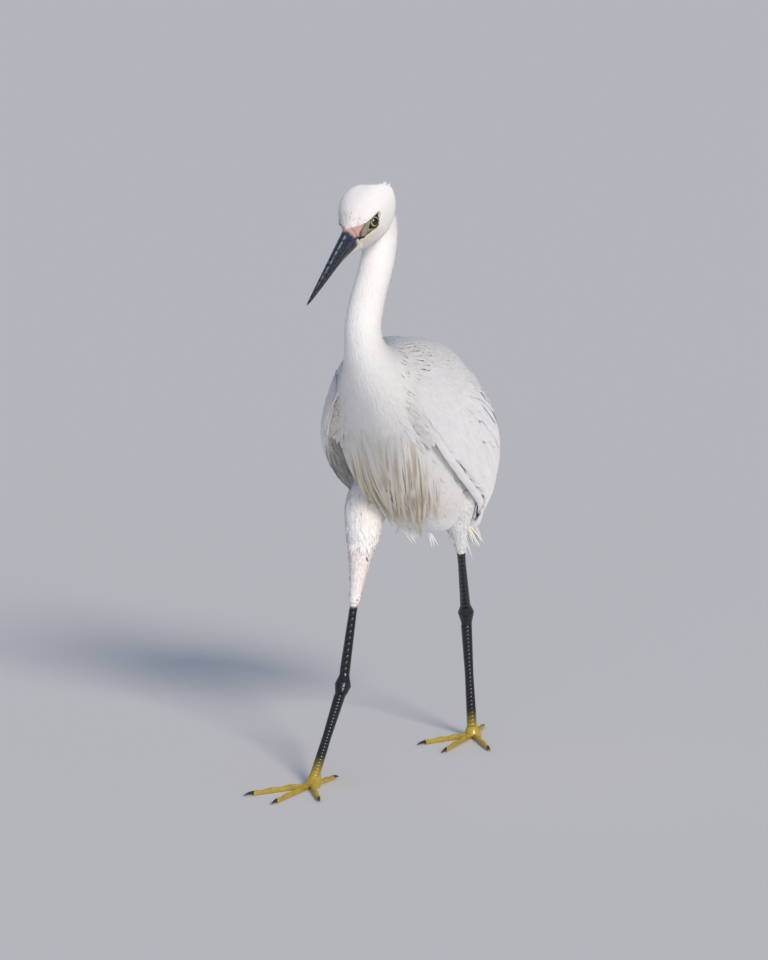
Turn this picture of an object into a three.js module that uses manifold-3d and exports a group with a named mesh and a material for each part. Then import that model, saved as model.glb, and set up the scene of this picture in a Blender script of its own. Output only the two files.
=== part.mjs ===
// Little egret (Egretta garzetta) at life size, wading slowly with its right leg forward.
// Millimetres, +Z up. The bird faces -Y, its left side is +X and its body's middle plane is x = 0.
import * as THREE from 'three';
import { mergeVertices } from 'three/addons/utils/BufferGeometryUtils.js';
import Module from 'manifold-3d';

const wasm = await Module();
wasm.setup();

// Gap left between two pieces that touch
const gap = 0.3;

// Trunk and neck follow one line in the middle plane, from the rump to the nape.
// Each row: y, z, half width, half depth toward the back, half depth toward the breast
const bodyRows = [
  [22, 180, 5, 5, 6],
  [4, 197, 18, 19, 26],
  [-22, 219, 34, 40, 51],
  [-54, 242, 46, 57, 67],
  [-90, 264, 50, 65, 71],
  [-124, 285, 49, 65, 64],
  [-153, 304, 41, 52, 50],
  [-176, 320, 30, 35, 35],
  [-192, 335, 21, 22, 24],
  [-202, 351, 15.5, 16.5, 18],
  [-204, 367, 14, 15.5, 16],
  [-196, 384, 13.5, 15.5, 15.5],
  [-183, 401, 13, 15, 15],
  [-171.5, 419, 13, 15, 15.5],
  [-167, 436, 13, 14.5, 17],
  [-171, 451, 12.5, 13, 16],
  [-180, 462, 9, 9, 11],
];
// Rows at which the neck is parted from the trunk and into its lengths
const neckStart = 7.2;
const neckJoints = [9.2, 11.6];

// Bill and head: the feathers' point on the culmen, the bill's pitch below level and turn to the right
const culmenBase = new THREE.Vector3(-2, -233, 449);
const billPitch = THREE.MathUtils.degToRad(37);
const billTurn = THREE.MathUtils.degToRad(5.2);
const billLength = 86;
const billBaseWidth = 11.5;
const billBaseDepth = 16;
const upperShare = 0.5;
const lowerBillShorter = 2;
// At the tip, shares of the base's depth and width and the gape's depth below the culmen's line
const billTip = { depthShare: 0.06, widthShare: 0.08, gapeBelow: 2.6 };
const billTaperPower = { depth: 0.85, width: 0.9 };
// Depth by which the gape's line sags in its middle
const gapeSag = 0.6;
// Near its base the gape's line bends down and the chin fills out, over a share of the bill's length
const gapeDrop = { depth: 4.5, reach: 0.35 };
const chin = { depth: 5.5, reach: 0.5 };

// Each row of the head: distance behind the culmen's feathers, top, bottom, half width
const headRows = [
  [0.3, 0, -26, 7.2],
  [7, 4.2, -30.5, 11.4],
  [16, 7.7, -33.2, 15.9],
  [27, 8.9, -35.2, 18.3],
  [39, 5.4, -36.2, 17.3],
  [51, -2.2, -36, 13.9],
  [61, -11.7, -34, 9.2],
  [68, -20.5, -30, 4.5],
];
// Roundness of the sections: 2 is an ellipse, more is fuller at the corners
const bodyRoundness = 2.2;
const headRoundness = 2.85;

const eyeBehind = 17.6;
const eyeBelow = -10.7;
const eyeOut = 10.8;
const eyeRadius = 6.4;

// Shells around the trunk. Each row: row of the body's line, half width, half depth,
// angles in degrees at which it begins and ends, thickness in its middle
const wingRows = [
  [7.1, 30.5, 34.5, 4, -14, 3],
  [6.6, 40.5, 44, 16, -26, 11],
  [5.8, 52, 56, 34, -38, 17],
  [5, 54.5, 66, 46, -40, 15],
  [4, 55, 69, 48, -41, 12],
  [3, 53, 64, 50, -43, 9],
  [2.3, 45, 51, 52, -44, 8],
  [1.5, 32, 34, 54, -42, 7],
  [0.6, 17, 20, 54, -30, 5],
  [-0.2, 9, 12, 40, -20, 4],
];
// How each wing is held: degrees its front hangs lower, and how far its lower edge stands off
const wingHold = {
  left: { droop: 0, flare: 2 },
  right: { droop: 11, flare: 15 },
};
const closeHeld = { droop: 0, flare: 0 };
const plumeRows = [
  [6.6, 39, 44, -72, -108, 2],
  [6, 45, 53, -56, -124, 3.5],
  [5.2, 52, 65, -52, -128, 4],
  [4.4, 54, 73, -52, -128, 4],
  [3.7, 53, 75, -58, -122, 3.5],
  [3.1, 51, 74, -66, -114, 2.5],
];
const shellEdge = 1.2;

// Tail: root and tip in the middle plane, half widths and thickness
const tailRoot = new THREE.Vector3(0, -18, 199);
const tailTip = new THREE.Vector3(0, 34, 150);
const tailHalfWidths = [12, 14, 14, 13, 10];
const tailThick = [9, 7, 5, 3.5, 1.8];
// Depth by which the tail's edges hang below its middle
const tailArch = 3;

// Legs: hip, knee, ankle and foot of each side
const legs = {
  left: {
    hip: new THREE.Vector3(16, -56, 246),
    knee: new THREE.Vector3(27, -73, 219),
    ankle: new THREE.Vector3(6.5, 1.6, 103.2),
    foot: new THREE.Vector3(13.1, 0.6, 0),
    feathersEnd: 0.46,
    heading: 4,
  },
  right: {
    hip: new THREE.Vector3(-16, -56, 246),
    knee: new THREE.Vector3(-30.1, -121.5, 210),
    ankle: new THREE.Vector3(-35.6, -160.4, 68),
    foot: new THREE.Vector3(-31.9, -235.6, 0),
    feathersEnd: 0.55,
    heading: -4,
  },
};
const thighRadii = [20, 20, 17.5, 12, 7, 4.4];
const shinRadius = 3.4;
const shinTopRadius = 4.2;
const shinEndRadius = 4.4;
// The ankle's knob, and how far it reaches above and below its middle
const ankleRadius = 7;
const ankleAbove = 6.3;
const ankleBelow = 9.1;
const tarsusTopRadius = 4.9;
const tarsusRadius = 3.7;
const tarsusEndRadius = 4.3;
// The knob where the toes meet: radius on the ground, height, and the turn over which it rounds off
const hubRadius = 7.2;
const hubTop = 11;
const hubTurn = Math.PI * 0.36;

// Toes: turn from straight ahead, length, with the hind toe last
const toes = [
  { name: 'inner', turn: 33, length: 50 },
  { name: 'middle', turn: 2, length: 66 },
  { name: 'outer', turn: -30, length: 55 },
  { name: 'hind', turn: 176, length: 34 },
];
const toeRadius = 2.4;
const toeTipRadius = 1.8;
// A toe is narrower at the foot, by this share, and fills out this fast along its length
const toeBaseShare = 0.7;
const toeFillOut = 2;
const toePads = { count: 3, swell: 0.1 };
// Height of a toe's middle as a share of its radius, which flattens its underside
const toeLift = 0.9;
const clawLength = 9;
const clawRadii = [1.5, 1.125, 0.35];
const clawHeights = [2.2, 2.4, 0.8];

const materials = {
  feather: new THREE.MeshStandardMaterial({ color: 0xf3f0e8, roughness: 0.85, metalness: 0 }),
  plume: new THREE.MeshStandardMaterial({ color: 0xeee3c4, roughness: 0.8, metalness: 0 }),
  bill: new THREE.MeshStandardMaterial({ color: 0x2b313c, roughness: 0.4, metalness: 0 }),
  leg: new THREE.MeshStandardMaterial({ color: 0x191a1d, roughness: 0.4, metalness: 0 }),
  foot: new THREE.MeshStandardMaterial({ color: 0xa8963a, roughness: 0.5, metalness: 0 }),
  claw: new THREE.MeshStandardMaterial({ color: 0x2a2622, roughness: 0.5, metalness: 0 }),
  eye: new THREE.MeshStandardMaterial({ color: 0xcdb94a, roughness: 0.1, metalness: 0 }),
};

// Value of each column of a table at row number u, on a smooth curve through the rows
function alongRows(rows, u) {
  const last = rows.length - 1;
  const i = Math.min(Math.max(Math.floor(u), 0), last - 1);
  const t = u - i;
  const row = (k) => rows[Math.min(Math.max(k, 0), last)];
  return rows[0].map((_, c) => {
    const slopeA = (row(i + 1)[c] - row(i - 1)[c]) / (i > 0 ? 2 : 1);
    const slopeB = (row(i + 2)[c] - row(i)[c]) / (i + 2 <= last ? 2 : 1);
    const a = 2 * t ** 3 - 3 * t ** 2 + 1;
    const b = t ** 3 - 2 * t ** 2 + t;
    const d = t ** 3 - t ** 2;
    return a * row(i)[c] + b * slopeA + (1 - a) * row(i + 1)[c] + d * slopeB;
  });
}

// Closed solid through rings of points, each ring given by ring(k) for k from 0 to count - 1
function skinRings(ring, count) {
  const rings = Array.from({ length: count }, (_, k) => ring(k));
  const sides = rings[0].length;
  const middle = (points) => points.reduce((sum, p) => sum.add(p), new THREE.Vector3())
    .divideScalar(points.length);
  const points = rings.flat();
  const first = points.length;
  points.push(middle(rings[0]), middle(rings[count - 1]));
  const index = [];
  for (let k = 0; k < count - 1; k += 1) {
    for (let s = 0; s < sides; s += 1) {
      const next = (s + 1) % sides;
      const [a, b, c, d] = [k * sides + s, k * sides + next, (k + 1) * sides + s, (k + 1) * sides + next];
      index.push(a, c, b, b, c, d);
    }
  }
  for (let s = 0; s < sides; s += 1) {
    const next = (s + 1) % sides;
    const end = (count - 1) * sides;
    index.push(first, s, next, first + 1, end + next, end + s);
  }
  const geometry = new THREE.BufferGeometry().setFromPoints(points);
  geometry.setIndex(index);
  return facingOut(geometry);
}

// The same geometry with its triangles turned to face out
function facingOut(geometry) {
  const position = geometry.getAttribute('position');
  const index = geometry.getIndex().array;
  const corner = (k) => new THREE.Vector3().fromBufferAttribute(position, index[k]);
  let volume = 0;
  for (let k = 0; k < index.length; k += 3) {
    volume += corner(k).dot(corner(k + 1).cross(corner(k + 2)));
  }
  if (volume < 0) {
    for (let k = 0; k < index.length; k += 3) {
      [index[k], index[k + 1]] = [index[k + 1], index[k]];
    }
  }
  return geometry;
}

// A geometry as a solid that can be cut, and back
function toSolid(geometry) {
  const merged = mergeVertices(geometry);
  return new wasm.Manifold(new wasm.Mesh({
    numProp: 3,
    vertProperties: merged.getAttribute('position').array,
    triVerts: Uint32Array.from(merged.getIndex().array),
  }));
}

function fromSolid(solid) {
  const mesh = solid.getMesh();
  const geometry = new THREE.BufferGeometry();
  geometry.setAttribute('position', new THREE.BufferAttribute(mesh.vertProperties, 3));
  geometry.setIndex(new THREE.BufferAttribute(mesh.triVerts, 1));
  return geometry;
}

// The geometry with other geometries cut away
function cutBy(geometry, cutters) {
  return fromSolid(cutters.reduce((solid, cutter) => solid.subtract(toSolid(cutter)), toSolid(geometry)));
}

// The body's line at row u: its point, the direction toward the back's surface, and the sizes there
function bodyLine(u) {
  const step = 0.01;
  const [y, z, wide, above, below] = alongRows(bodyRows, u);
  const ahead = alongRows(bodyRows, u + step);
  const behind = alongRows(bodyRows, u - step);
  const along = new THREE.Vector3(0, ahead[0] - behind[0], ahead[1] - behind[1]).normalize();
  const outward = new THREE.Vector3(0, along.z, -along.y);
  return { point: new THREE.Vector3(0, y, z), outward, along, wide, above, below };
}

// Coordinates on a unit oval at an angle
function oval(angle, roundness) {
  const bend = (value) => Math.sign(value) * Math.abs(value) ** (2 / roundness);
  return [bend(Math.cos(angle)), bend(Math.sin(angle))];
}

// Point on an oval around the body's line; angle 0 is the bird's left, 90 degrees its back
function bodyPoint(line, angle, wide, above, below) {
  const [across, upward] = oval(angle, bodyRoundness);
  return line.point.clone()
    .add(new THREE.Vector3(wide * across, 0, 0))
    .addScaledVector(line.outward, (upward > 0 ? above : below) * upward);
}

function bodyRing(u, sides, grow) {
  const line = bodyLine(u);
  return Array.from({ length: sides }, (_, s) => bodyPoint(
    line, (2 * Math.PI * s) / sides, line.wide + grow, line.above + grow, line.below + grow));
}

// Length of the body between two of its rows, with flat ends
function bodyLength(from, to, rings, sides, grow = 0) {
  return skinRings((k) => bodyRing(from + ((to - from) * k) / (rings - 1), sides, grow), rings);
}

// Row step that leaves half a gap at row u
function halfGapAt(u) {
  const step = 0.01;
  const travel = bodyLine(u + step).point.distanceTo(bodyLine(u).point) / step;
  return gap / 2 / travel;
}

// The head's frame: forward along the bill, left and up
function headFrame() {
  const level = Math.cos(billPitch);
  const forward = new THREE.Vector3(
    -Math.sin(billTurn) * level, -Math.cos(billTurn) * level, -Math.sin(billPitch));
  const left = new THREE.Vector3(Math.cos(billTurn), -Math.sin(billTurn), 0);
  return { forward, left, up: new THREE.Vector3().crossVectors(left, forward).negate() };
}

// Point of the head's frame: behind the culmen's feathers, out to the left, above the culmen's line
function headPoint(behind, out, above) {
  const { forward, left, up } = headFrame();
  return culmenBase.clone().addScaledVector(forward, -behind).addScaledVector(left, out)
    .addScaledVector(up, above);
}

function headSolid(grow) {
  const sides = 18;
  const rings = 14;
  const last = headRows.length - 1;
  return skinRings((k) => {
    const [behind, top, bottom, wide] = alongRows(headRows, (last * k) / (rings - 1));
    const middle = (top + bottom) / 2;
    const high = (top - bottom) / 2 + grow;
    const reach = k === 0 ? -grow : 0;
    return Array.from({ length: sides }, (_, s) => {
      const [across, upward] = oval((2 * Math.PI * s) / sides, headRoundness);
      return headPoint(behind + reach, (wide + grow) * across, middle + high * upward);
    });
  }, rings);
}

// Size at a share t of the bill's length that tapers from 1 to the tip's share
function billTaper(t, tipShare, power) {
  return tipShare + (1 - tipShare) * (1 - t) ** power;
}

// Depth at a share t of the bill's length that fades to nothing at the filling's reach
function nearBase(t, filling) {
  return filling.depth * Math.max(0, 1 - t / filling.reach) ** 2;
}

// Half of the bill above or below the line of the gape
function billSolid(upper) {
  const rings = 12;
  const sides = 7;
  const length = upper ? billLength : billLength - lowerBillShorter;
  const share = upper ? upperShare : 1 - upperShare;
  const sign = upper ? 1 : -1;
  return skinRings((k) => {
    const t = k / (rings - 1);
    const filling = upper ? gapeDrop : chin;
    const depth = billBaseDepth * share * billTaper(t, billTip.depthShare, billTaperPower.depth)
      + nearBase(t, filling);
    const wide = (billBaseWidth / 2) * billTaper(t, billTip.widthShare, billTaperPower.width);
    const straight = billBaseDepth * upperShare * (1 - t) + billTip.gapeBelow * t;
    const gapeBelow = straight + gapeSag * Math.sin(Math.PI * t) + nearBase(t, gapeDrop);
    return Array.from({ length: sides }, (_, s) => {
      const angle = (Math.PI * s) / (sides - 1);
      const above = sign * (gap / 2 + depth * Math.sin(angle)) - gapeBelow;
      return headPoint(-length * t, wide * Math.cos(angle), above);
    });
  }, rings);
}

function eyeCentre(side) {
  return headPoint(eyeBehind, side * eyeOut, eyeBelow);
}

function eyeSolid(side, grow) {
  const geometry = new THREE.SphereGeometry(eyeRadius + grow, 12, 8);
  geometry.deleteAttribute('normal');
  geometry.deleteAttribute('uv');
  const centre = eyeCentre(side);
  return mergeVertices(geometry).translate(centre.x, centre.y, centre.z);
}

// Shell around the trunk between two angles, thick in the middle and thin at its edges
function shellSolid(rows, side, grow, hold = closeHeld) {
  const rings = 2 * rows.length - 1;
  const steps = 6;
  const last = rows.length - 1;
  const shares = Array.from({ length: steps + 1 }, (_, s) => s / steps);
  return skinRings((k) => {
    const [row, wide, deep, begins, ends, thickness] = alongRows(rows, (last * k) / (rings - 1));
    const line = bodyLine(row);
    const endward = (k === 0) - (k === rings - 1);
    line.point.addScaledVector(line.along, 2 * grow * endward);
    const rearward = k / (rings - 1);
    const lowered = hold.droop * (1 - rearward);
    const flare = hold.flare * Math.sin(Math.PI * rearward);
    const widening = Math.sign(ends - begins) * THREE.MathUtils.radToDeg((2 * grow) / deep);
    const pointAt = (share, depth) => {
      const spread = (ends - begins) * share + widening * (2 * share - 1);
      const angle = THREE.MathUtils.degToRad(begins - lowered + spread);
      const turned = side > 0 ? angle : Math.PI - angle;
      const point = bodyPoint(line, turned, wide - depth, deep - depth, deep - depth);
      point.x += side * flare * share ** 2;
      return point;
    };
    const thick = (share) => shellEdge + (thickness - shellEdge) * Math.sin(Math.PI * share);
    const outer = shares.map((share) => pointAt(share, -grow));
    const inner = shares.map((share) => pointAt(share, thick(share) + grow)).reverse();
    return [...outer, ...inner];
  }, rings);
}

function tailSolid(grow) {
  const last = tailHalfWidths.length - 1;
  const sides = 12;
  const along = tailTip.clone().sub(tailRoot).normalize();
  const up = new THREE.Vector3(0, -along.z, along.y);
  const rows = tailHalfWidths.map((wide, k) => [wide, tailThick[k]]);
  const rings = 8;
  return skinRings((k) => {
    const t = k / (rings - 1);
    const [wide, thick] = alongRows(rows, last * t);
    const middle = tailRoot.clone().lerp(tailTip, t);
    return Array.from({ length: sides }, (_, s) => {
      const angle = (2 * Math.PI * s) / sides;
      return middle.clone().add(new THREE.Vector3((wide + grow) * Math.cos(angle), 0, 0))
        .addScaledVector(up, (thick / 2 + grow) * Math.sin(angle) - tailArch * Math.cos(angle) ** 2);
    });
  }, rings);
}

// Round tube through points with a radius at each, and flat ends
function tube(points, radii, rings, sides) {
  const curve = new THREE.CatmullRomCurve3(points);
  const rows = radii.map((radius) => [radius]);
  return skinRings((k) => {
    const t = k / (rings - 1);
    const middle = curve.getPoint(t);
    const along = curve.getTangent(t);
    const sideways = new THREE.Vector3(1, 0, 0).addScaledVector(along, -along.x).normalize();
    const across = new THREE.Vector3().crossVectors(along, sideways);
    const [radius] = alongRows(rows, (radii.length - 1) * t);
    return Array.from({ length: sides }, (_, s) => {
      const angle = (2 * Math.PI * s) / sides;
      return middle.clone().addScaledVector(sideways, radius * Math.cos(angle))
        .addScaledVector(across, radius * Math.sin(angle));
    });
  }, rings);
}

function thighSolid(leg, grow) {
  const end = leg.knee.clone().lerp(leg.ankle, leg.feathersEnd);
  const points = [leg.hip, leg.hip.clone().lerp(leg.knee, 0.5), leg.knee, leg.knee.clone().lerp(end, 0.4),
    leg.knee.clone().lerp(end, 0.72), end];
  return tube(points, thighRadii.map((radius) => radius + grow), 11, 14);
}

function shinSolid(leg) {
  const start = leg.knee.clone().lerp(leg.ankle, leg.feathersEnd);
  const along = leg.ankle.clone().sub(start).normalize();
  start.addScaledVector(along, gap);
  const end = leg.ankle.clone().addScaledVector(along, -ankleAbove);
  return tube([start, start.clone().lerp(end, 0.5), end], [shinTopRadius, shinRadius, shinEndRadius], 7, 10);
}

function ankleSolid(leg) {
  const up = leg.knee.clone().sub(leg.ankle).normalize();
  const down = leg.foot.clone().sub(leg.ankle).normalize();
  const top = leg.ankle.clone().addScaledVector(up, ankleAbove - gap);
  const bottom = leg.ankle.clone().addScaledVector(down, ankleBelow - gap);
  return tube([top, leg.ankle, bottom], [shinEndRadius, ankleRadius, tarsusTopRadius], 7, 12);
}

function tarsusSolid(leg) {
  const down = leg.foot.clone().sub(leg.ankle).normalize();
  const top = leg.ankle.clone().addScaledVector(down, ankleBelow);
  const bottom = leg.foot.clone().addScaledVector(down, -hubTop / 2 / Math.abs(down.z));
  const middle = top.clone().lerp(bottom, 0.5);
  return tube([top, middle, bottom], [tarsusTopRadius, tarsusRadius, tarsusEndRadius], 9, 10);
}

// Low knob where the toes meet, flat on the ground
function hubSolid(leg, grow) {
  const rings = 6;
  const sides = 14;
  return skinRings((k) => {
    const t = k / (rings - 1);
    const radius = hubRadius * Math.cos(t * hubTurn) + grow;
    const lean = leg.ankle.clone().sub(leg.foot).multiplyScalar(((hubTop + 2 * grow) * t) / leg.ankle.z);
    return Array.from({ length: sides }, (_, s) => {
      const angle = (2 * Math.PI * s) / sides;
      const outward = new THREE.Vector3(radius * Math.cos(angle), radius * Math.sin(angle), 0);
      return leg.foot.clone().add(lean).add(outward);
    });
  }, rings);
}

// Direction on the ground of a toe; a positive turn is toward the bird's middle plane
function toeHeading(leg, side, toe) {
  const turn = THREE.MathUtils.degToRad(leg.heading - side * toe.turn);
  return new THREE.Vector3(Math.sin(turn), -Math.cos(turn), 0);
}

// Toe with three pads, its underside flat on the ground
function toeSolid(leg, side, toe) {
  const rings = 11;
  const sides = 7;
  const heading = toeHeading(leg, side, toe);
  const across = new THREE.Vector3(-heading.y, heading.x, 0);
  return skinRings((k) => {
    const t = k / (rings - 1);
    const pads = 1 + toePads.swell * Math.cos(2 * Math.PI * toePads.count * t);
    const waist = Math.min(1, toeBaseShare + toeFillOut * t);
    const radius = (toeRadius + (toeTipRadius - toeRadius) * t) * pads * waist;
    const reach = hubRadius + gap + (toe.length - hubRadius - gap) * t;
    const middle = leg.foot.clone().addScaledVector(heading, reach);
    return Array.from({ length: sides }, (_, s) => {
      const angle = (2 * Math.PI * (s + 0.5)) / sides;
      const point = middle.clone().addScaledVector(across, radius * Math.cos(angle));
      point.z = Math.max(0, radius * (toeLift + Math.sin(angle)));
      return point;
    });
  }, rings);
}

function clawSolid(leg, side, toe) {
  const heading = toeHeading(leg, side, toe);
  const start = leg.foot.clone().addScaledVector(heading, toe.length + gap);
  const points = clawHeights.map((height, k) => {
    const reach = (clawLength * k) / (clawHeights.length - 1);
    return start.clone().addScaledVector(heading, reach).setZ(height);
  });
  return tube(points, clawRadii, 5, 6);
}

// The pieces, each cut clear of what it meets
const bothSides = { left: 1, right: -1 };
const pieces = [];
const add = (name, geometry, material) => pieces.push({ name, geometry, material });

const wings = Object.entries(bothSides)
  .map(([name, side]) => shellSolid(wingRows, side, gap, wingHold[name]));
const plumes = shellSolid(plumeRows, 1, gap);
const trunkRings = 19;
const trunkSides = 26;
const trunk = bodyLength(0, neckStart - halfGapAt(neckStart), trunkRings, trunkSides);
add('trunk', cutBy(trunk, [...wings, plumes]), materials.feather);
add('breast_plumes', shellSolid(plumeRows, 1, 0), materials.plume);
const wholeTrunk = bodyLength(0, neckStart, trunkRings, trunkSides, gap);
const cuts = [neckStart, ...neckJoints, bodyRows.length - 1];
['lower', 'middle', 'upper'].forEach((name, k) => {
  const from = cuts[k] + halfGapAt(cuts[k]);
  const to = cuts[k + 1] - (k < 2 ? halfGapAt(cuts[k + 1]) : 0);
  add(`neck_${name}`, cutBy(bodyLength(from, to, 8, 18), k === 2 ? [headSolid(gap)] : []), materials.feather);
});
const eyes = Object.values(bothSides).map((side) => eyeSolid(side, gap));
add('head', cutBy(headSolid(0), eyes), materials.feather);
add('bill_upper', billSolid(true), materials.bill);
add('bill_lower', billSolid(false), materials.bill);
add('tail', cutBy(tailSolid(0), [wholeTrunk, ...wings]), materials.feather);

for (const [name, side] of Object.entries(bothSides)) {
  const leg = legs[name];
  add(`eye_${name}`, eyeSolid(side, 0), materials.eye);
  add(`wing_${name}`, shellSolid(wingRows, side, 0, wingHold[name]), materials.feather);
  add(`thigh_${name}`, cutBy(thighSolid(leg, 0), [wholeTrunk, plumes, ...wings]), materials.feather);
  add(`shin_${name}`, shinSolid(leg), materials.leg);
  add(`ankle_${name}`, ankleSolid(leg), materials.leg);
  add(`tarsus_${name}`, cutBy(tarsusSolid(leg), [hubSolid(leg, gap)]), materials.leg);
  add(`foot_${name}`, hubSolid(leg, 0), materials.foot);
  for (const toe of toes) {
    add(`toe_${toe.name}_${name}`, cutBy(toeSolid(leg, side, toe), [hubSolid(leg, gap)]), materials.foot);
    add(`claw_${toe.name}_${name}`, clawSolid(leg, side, toe), materials.claw);
  }
}

const egret = new THREE.Group();
for (const { name, geometry, material } of pieces) {
  const mesh = new THREE.Mesh(geometry, material);
  mesh.name = name;
  egret.add(mesh);
}

// The origin lies under the middle of the bird's box
const box = new THREE.Box3().setFromObject(egret);
const middle = box.getCenter(new THREE.Vector3());
egret.position.set(-middle.x, -middle.y, -box.min.z);

export default egret;
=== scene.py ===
# %% [markdown]
# # A little egret, life size
# The model is a wading bird cast in feathers, horn and scaled skin. It is built on a frame of plain
# solids that another tool packed, and everything here is placed in that frame, in metres.
# The shapes are worked out in millimetres first, in the bird's own space: it faces -Y, its left
# side is +X and the floor is z = 0.

# %% Load the frame
import bpy
import math
import numpy as np
from mathutils import Matrix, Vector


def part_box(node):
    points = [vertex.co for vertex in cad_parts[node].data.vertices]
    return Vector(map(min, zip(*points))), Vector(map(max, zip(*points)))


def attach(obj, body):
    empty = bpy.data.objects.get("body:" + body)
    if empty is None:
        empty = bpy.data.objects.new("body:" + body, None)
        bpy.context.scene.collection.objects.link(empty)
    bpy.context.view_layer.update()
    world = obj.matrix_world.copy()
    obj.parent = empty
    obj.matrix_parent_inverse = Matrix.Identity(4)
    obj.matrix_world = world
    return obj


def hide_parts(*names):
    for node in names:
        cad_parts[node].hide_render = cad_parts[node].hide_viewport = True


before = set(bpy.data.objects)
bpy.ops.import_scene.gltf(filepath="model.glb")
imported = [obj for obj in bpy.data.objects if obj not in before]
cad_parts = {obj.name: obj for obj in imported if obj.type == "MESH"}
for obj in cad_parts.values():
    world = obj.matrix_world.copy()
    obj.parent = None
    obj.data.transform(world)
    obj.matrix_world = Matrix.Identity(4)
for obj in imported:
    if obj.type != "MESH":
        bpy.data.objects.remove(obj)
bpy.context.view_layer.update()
MM = 0.001

# %% [markdown]
# ## Tables of the bird's form
# A sculptor's armature is a bent wire with known widths along it. These tables are that armature:
# each row is a station along the body, the head or a wing. They could be typed as thousands of
# vertices instead, but a few rows and a smooth curve through them are easier to correct.

# %% Rows of the body, head and shells
# y, z, half width, half depth toward the back, half depth toward the breast
BODY_ROWS = [
    [22, 180, 5, 5, 6], [4, 197, 18, 19, 26], [-22, 219, 34, 40, 51], [-54, 242, 46, 57, 67],
    [-90, 264, 50, 65, 71], [-124, 285, 49, 65, 64], [-153, 304, 41, 52, 50], [-176, 320, 30, 35, 35],
    [-192, 335, 21, 22, 24], [-202, 351, 15.5, 16.5, 18], [-204, 367, 14, 15.5, 16],
    [-196, 384, 13.5, 15.5, 15.5], [-183, 401, 13, 15, 15], [-171.5, 419, 13, 15, 15.5],
    [-167, 436, 13, 14.5, 17], [-171, 451, 12.5, 13, 16], [-180, 462, 9, 9, 11]]
# distance behind the culmen's feathers, top, bottom, half width
HEAD_ROWS = [[0.3, 0, -26, 7.2], [7, 4.2, -30.5, 11.4], [16, 7.7, -33.2, 15.9], [27, 8.9, -35.2, 18.3],
             [39, 5.4, -36.2, 17.3], [51, -2.2, -36, 13.9], [61, -11.7, -34, 9.2], [68, -20.5, -30, 4.5]]
# row of the body's line, half width, half depth, first and last angle
WING_ROWS = [[7.1, 30.5, 34.5, 4, -14], [6.6, 40.5, 44, 16, -26], [5.8, 52, 56, 34, -38],
             [5, 54.5, 66, 46, -40], [4, 55, 69, 48, -41], [3, 53, 64, 50, -43], [2.3, 45, 51, 52, -44],
             [1.5, 32, 34, 54, -42], [0.6, 17, 20, 54, -30], [-0.2, 9, 12, 40, -20]]
# thickness from shoulder to tip; what it thins to at an edge, and the least that the skin keeps
WING_THICK = [3, 11, 17, 15, 12, 9, 8, 7, 5, 4]
WING_LEAST = (1.2, 2.6)
# degrees the wing's front hangs lower, and how far its lower edge stands off
WING_HOLD = {"left": (0, 2), "right": (11, 15)}
# degrees by which the feathers stop short of the shell's lower edge, halfway along
WING_TRIM = 7
SIDES = {"left": 1, "right": -1}
LEFT, UP = np.array([1.0, 0, 0]), np.array([0, 0, 1.0])
BODY_ROUND, HEAD_ROUND = 2.2, 2.85
print("rows:", len(BODY_ROWS), "body,", len(HEAD_ROWS), "head,", len(WING_ROWS), "wing")

# %% Rows of the bill, tail and legs
CULMEN_BASE = np.array([-2.0, -233.0, 449.0])
BILL_PITCH, BILL_TURN = math.radians(37), math.radians(5.2)
BILL_LENGTH, BILL_WIDTH, BILL_DEPTH = 86.0, 11.5, 16.0
# depth and share of the bill's length over which the gape bends down, and the chin fills out
GAPE_DROP, CHIN = (4.5, 0.35), (5.5, 0.5)
EYE_AT, EYE_RADIUS = (17.6, 10.8, -10.7), 6.4
TAIL_ROOT, TAIL_TIP = np.array([0, -18.0, 199.0]), np.array([0, 34.0, 150.0])
LEGS = {
    "left": {"hip": (16, -56, 246), "knee": (27, -73, 219), "ankle": (6.5, 1.6, 103.2),
             "foot": (13.1, 0.6, 0), "feathers": 0.46, "heading": 4},
    "right": {"hip": (-16, -56, 246), "knee": (-30.1, -121.5, 210), "ankle": (-35.6, -160.4, 68),
              "foot": (-31.9, -235.6, 0), "feathers": 0.55, "heading": -4}}
THIGH_RADII = [20, 20, 17.5, 12, 7, 4.4]
# place along knee, ankle and foot, radius there
LEG_RADII = ([0, 0.42, 0.6, 0.94, 1.0, 1.085, 1.5, 1.93, 2.0],
             [4.0, 4.2, 3.4, 4.4, 7.0, 4.7, 3.7, 4.3, 4.6])
# turn from straight ahead, length
TOES = {"inner": (33, 50), "middle": (2, 66), "outer": (-30, 55), "hind": (176, 34)}
HUB_RADIUS, TOE_RADIUS, TOE_TIP = 7.2, 2.4, 1.8
for leg in LEGS.values():
    for joint in ("hip", "knee", "ankle", "foot"):
        leg[joint] = np.array(leg[joint], float)
print("bill", BILL_LENGTH, "mm, toes", {name: toe[1] for name, toe in TOES.items()})

# %% [markdown]
# ## Surfaces as functions
# Every part of the bird is a function that gives a point for two numbers: how far along, and how
# far around. Skin, feathers and scales all ask the same functions where they are, so a feather can
# never float off its skin. Sculpting by hand would look as good but could not be measured.

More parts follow.
